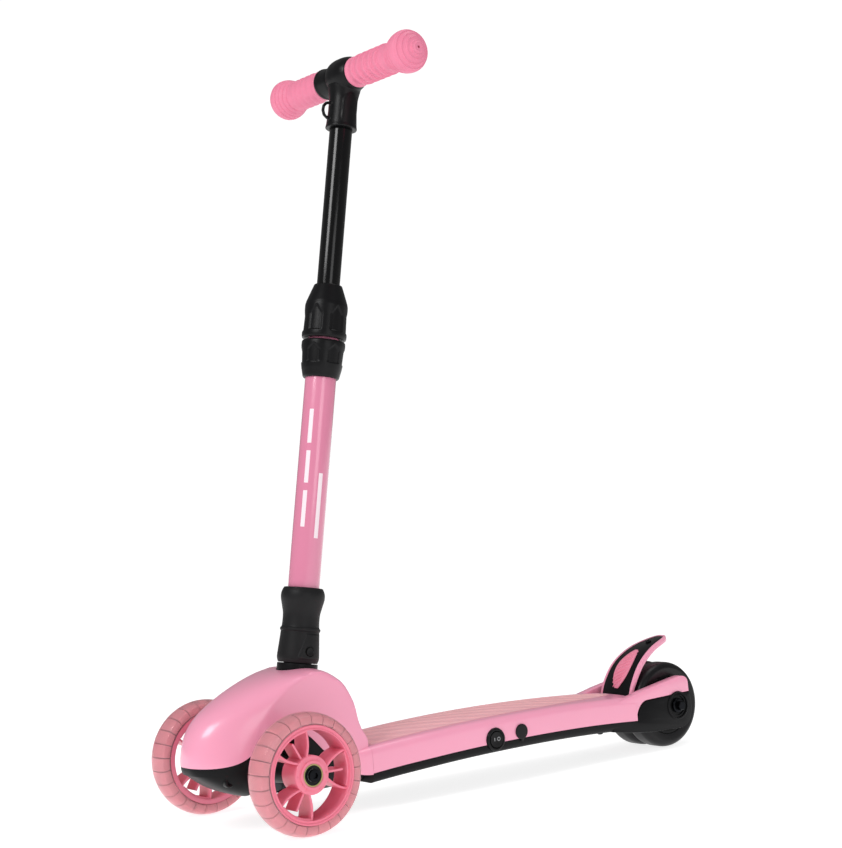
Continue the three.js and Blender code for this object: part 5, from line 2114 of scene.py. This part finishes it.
@dataclass
class Handlebar:
    """The T-shaped head and the two soft grips."""

    inner: dict[Side, float] = field(default_factory=lambda: {Side.LEFT: 22.0, Side.RIGHT: 38.6})

    def build(self, shop: Workshop) -> None:
        """Makes the head and the grips.

        Args:
            shop: makes and dresses the pieces.
        """
        self.build_head(shop)
        for side in Side:
            self.build_grip(shop, side)

    def build_head(self, shop: Workshop) -> None:
        """Makes the moulded head, with its parts run smoothly into each other.

        Args:
            shop: makes and dresses the pieces.
        """
        bar = Matrix.Translation((0, 0, BAR_S)) @ TO_LEFT
        neck = turned([(0, 629.5), (17.4, 629.5), (16.6, 634, 2), (15.6, 648, 5), (15.6, 664, 4),
                       (18, 676),
                       (0, 690)], 1.0, 96)
        bulb = turned([(0, -17), (14.5, -17, 2), (18.6, -12.5, 4), (20.3, -5, 5), (20.3, 8, 5),
                       (19, 15, 4),
                       (16.8, 19.5, 2), (15, 21.4), (0, 21.4)], 1.0, 96).placed(bar)
        sleeve = turned([(0, -38), (16.2, -38), (17.2, -37), (17.2, -34.4), (16.4, -33),
                         (15.6, -20),
                         (14.4, -16), (0, -16)], 0.6, 96).placed(bar)
        head = make_object("t_head_skin", neck.placed(STEM))
        combine(head, "UNION",
                [bulb.placed(STEM), sleeve.placed(STEM), self.arch_panel().placed(STEM),
                 self.ring_loop().placed(STEM)])
        remesh = head.modifiers.new("blend", "REMESH")
        remesh.mode, remesh.voxel_size = "VOXEL", 0.62 * MM
        smooth = head.modifiers.new("soften", "SMOOTH")
        smooth.factor, smooth.iterations = 0.5, 5
        bake_modifiers(head)
        bores = [rod(12.6, 600, 668, 72).placed(STEM),
                 rod(11.3, -60, 60, 72).placed(STEM @ bar)]
        combine(head, "DIFFERENCE", bores, 50)
        shop.dress(head, Finishes.BLACK_SATIN, "handlebar", ["t_head"])

    def arch_panel(self) -> Solid:
        """The raised arch on the near side of the neck."""
        rings = []
        for s in steps(632, 667, 20):
            reach = math.radians(34.0 * math.sqrt(clamp((667.5 - s) / 9.0)) if s > 658 else 34.0)
            angles = steps(math.pi / 2 - reach, math.pi / 2 + reach, 18)
            rings.append(band(13.5, 16.7, angles, s))
        return loft(rings)

    def ring_loop(self) -> Solid:
        """The small moulded loop on the front of the neck."""
        path = [Vector((x, 0, z))
                for x, z in ((12, 655), (17, 655.6), (21.5, 654.2), (24.4, 650.5), (25, 645.5),
                             (23.2, 640.8), (19, 638.2), (12, 638.6))]
        rings = []
        for k, p in enumerate(path):
            way = (path[min(k + 1, len(path) - 1)] - path[max(k - 1, 0)]).normalized()
            out = way.cross(Vector((0, 1, 0)))
            rings.append([p + out * 1.8 * math.cos(a) + Vector((0, 1, 0)) * 1.8 * math.sin(a)
                          for a in (math.pi * j / 6 for j in range(12))])
        return loft(rings)

    def build_grip(self, shop: Workshop, side: Side) -> None:
        """Makes one grip with its slanted ribs, flared end and ringed cap.

        Args:
            shop: makes and dresses the pieces.
            side: which side of the scooter.
        """
        start, bore = self.inner[side], 11.3
        profile = [(bore, start), (16.4, start, 1.2), (16.9, start + 3, 1.2),
                   (15.0, start + 6, 1.2)]
        s = start + 7.0
        while s < 88:
            profile.append((15.0, s, 0.0))
            s += 0.6
        profile.append((15.3, 90))
        for radius, height in ((16.3, 95.5), (18.2, 100.5), (20.3, 105.5), (21.9, 110.5)):
            profile += [(radius, height - 1.2, 0.5), (radius - 1.0, height, 0.3),
                        (radius + 0.3, height + 0.9, 0.5)]
        profile += [(22.6, 115.5, 2.5), (22.0, 119.5, 2.0)]
        for outer, height in ((20.6, 121.6), (16.6, 125.8), (12.4, 129.6), (8.2, 132.6)):
            profile += [(outer, height - 0.9), (outer - 0.3, height + 1.3, 0.3),
                        (outer - 1.5, height + 1.2, 0.4)]
        profile += [(5.0, 135.0, 0.4), (1.3, 135.0), (1.3, 124), (bore, 124)]
        at = STEM @ Matrix.Translation((0, 0, BAR_S)) @ side.outward
        grip = make_object(f"grip_skin_{side.word}", lathe(rounded(profile, 0.6), 120).placed(at))
        apply_tree(grip, shop.patterns.ribs, Centre=tuple((STEM @ Vector((0, 0, BAR_S))) * MM),
                   Pitch=10.6 * MM, Depth=2.1 * MM, Slant=3.2 * MM, Start=(start + 8) * MM,
                   End=88.0 * MM,
                   Material=shop.paint.material(Finishes.PINK_GRIP))
        settle(grip, 60)
        shop.dress(grip, Finishes.PINK_GRIP, "handlebar", [f"grip_{side.word}"])


# ---- Studio ----------------------------------------------------------------------------------

@dataclass
class Studio:
    """Pale floor, soft lights and the camera."""

    eye: Triple = (0.8906, 1.5182, 0.3319)
    yaw: float = 233.3
    pitch: float = 2.0
    roll: float = -3.9
    lens: float = 72.9

    def build(self) -> None:
        """Makes the floor, the lights and the camera."""
        self.build_floor()
        self.build_world()
        self.soft_box("key_light", (2.1, 0.45, 1.9), (0.15, 0.0, 0.3), 0.9, 25.0)
        self.soft_box("fill_light", (0.5, 2.5, 1.0), (0.0, 0.0, 0.3), 1.0, 7.0)
        self.soft_box("top_light", (-0.6, 0.2, 2.4), (-0.1, 0.0, 0.0), 1.0, 9.0)
        self.build_camera()
        bpy.context.scene.view_settings.view_transform = "Standard"

    def build_floor(self) -> None:
        """Makes the pale floor with faint unevenness."""
        mesh = bpy.data.meshes.new("studio_floor")
        mesh.from_pydata([(-40, -40, 0), (40, -40, 0), (40, 40, 0), (-40, 40, 0)], [],
                         [(0, 1, 2, 3)])
        floor = bpy.data.objects.new("studio_floor", mesh)
        bpy.context.scene.collection.objects.link(floor)
        material = bpy.data.materials.new("pale_floor")
        material.use_nodes = True
        graph = Graph(material.node_tree)
        shader = next(n for n in graph.tree.nodes if n.type == "BSDF_PRINCIPLED")
        place = graph.add("ShaderNodeTexCoord").outputs["Object"]
        noise = graph.add("ShaderNodeTexNoise", {"Vector": place, "Scale": 3.0})
        graph.feed(shader.inputs["Roughness"], graph.out(noise, "Fac") * 0.1 + 0.6)
        shader.inputs["Base Color"].default_value = (0.5, 0.5, 0.5, 1)
        shader.inputs["Specular IOR Level"].default_value = 0.1
        shader.inputs["Emission Color"].default_value = (1, 1, 1, 1)
        shader.inputs["Emission Strength"].default_value = 0.8
        mesh.materials.append(material)

    def build_world(self) -> None:
        """Lights the scene evenly: white where it is seen, dimmer in reflections."""
        world = bpy.data.worlds.new("studio_world")
        world.use_nodes = True
        graph = Graph(world.node_tree)
        back = next(n for n in graph.tree.nodes if n.type == "BACKGROUND")
        back.inputs["Color"].default_value = (1, 1, 1, 1)
        path = graph.add("ShaderNodeLightPath")
        seen, mirrored = graph.out(path, "Is Camera Ray"), graph.out(path, "Is Glossy Ray")
        level = graph.math("MAXIMUM", seen * 1.05, mirrored * -0.27 + 0.5)
        graph.feed(back.inputs["Strength"], level)
        bpy.context.scene.world = world

    def soft_box(self, name: str, place: Triple, target: Triple, size: float, power: float) -> None:
        """Adds one large soft light aimed at a point.

        Args:
            name: the light's name.
            place: where the light stands.
            target: the point it is aimed at.
            size: length of its edge.
            power: its power in watts.
        """
        data = bpy.data.lights.new(name, "AREA")
        data.energy, data.size = power, size
        light = bpy.data.objects.new(name, data)
        bpy.context.scene.collection.objects.link(light)
        light.location = place
        light.rotation_euler = (Vector(place) - Vector(target)).to_track_quat("Z", "Y").to_euler()

    def build_camera(self) -> None:
        """Places the camera."""
        yaw, pitch, roll = (math.radians(a) for a in (self.yaw, self.pitch, self.roll))
        ahead = Vector((math.cos(yaw) * math.cos(pitch), math.sin(yaw) * math.cos(pitch),
                        math.sin(pitch)))
        right = ahead.cross(Vector((0, 0, 1))).normalized()
        up = right.cross(ahead)
        right, up = (right * math.cos(roll) + up * math.sin(roll), -right * math.sin(roll)
                     + up * math.cos(roll))
        data = bpy.data.cameras.new("camera")
        data.lens, data.sensor_width, data.clip_end = self.lens, 36.0, 60.0
        camera = bpy.data.objects.new("camera", data)
        bpy.context.scene.collection.objects.link(camera)
        turn = Matrix((right, up, -ahead)).transposed().to_4x4()
        camera.matrix_world = Matrix.Translation(Vector(self.eye)
                                                 + Vector((AXLE.x * MM, 0, 0))) @ turn
        bpy.context.scene.camera = camera


CARRIED_OVER = {
    Finishes.BOARD: ("light_guide", "control_board"),
    Finishes.BATTERY: ("battery_pack",),
    Finishes.CAST: ("neck_casting",),
    Finishes.BLACK_STEEL: ("steering_post", "kingpin"),
    Finishes.STEEL: ("kingpin_nut", "rear_spacer_left", "rear_spacer_right", "brake_pin",
                     "brake_spring", "handlebar_tube"),
    Finishes.BLACK_RUBBER: ("kingpin_bush_rear", "kingpin_bush_front"),
    Finishes.BLACK_SHELL: ("charge_socket", "collet", "guide_bush"),
}


def main() -> None:
    """Builds the scooter, then its studio."""
    logging.basicConfig(level=logging.INFO, format="%(name)s: %(message)s")
    shop = Workshop()
    deck = Deck()
    assemblies = [deck, FrontBody(), Truck(), FrontWheel(Side.LEFT), FrontWheel(Side.RIGHT),
                  RearWheel(Side.LEFT), RearWheel(Side.RIGHT), RearAxle(), Brake(),
                  SideFittings(deck),
                  Stem(), Handlebar()]
    for assembly in assemblies:
        assembly.build(shop)
    for finish, nodes in CARRIED_OVER.items():
        for node in nodes:
            shop.keep(node, finish)
    Studio().build()


if __name__ == "__main__":
    main()
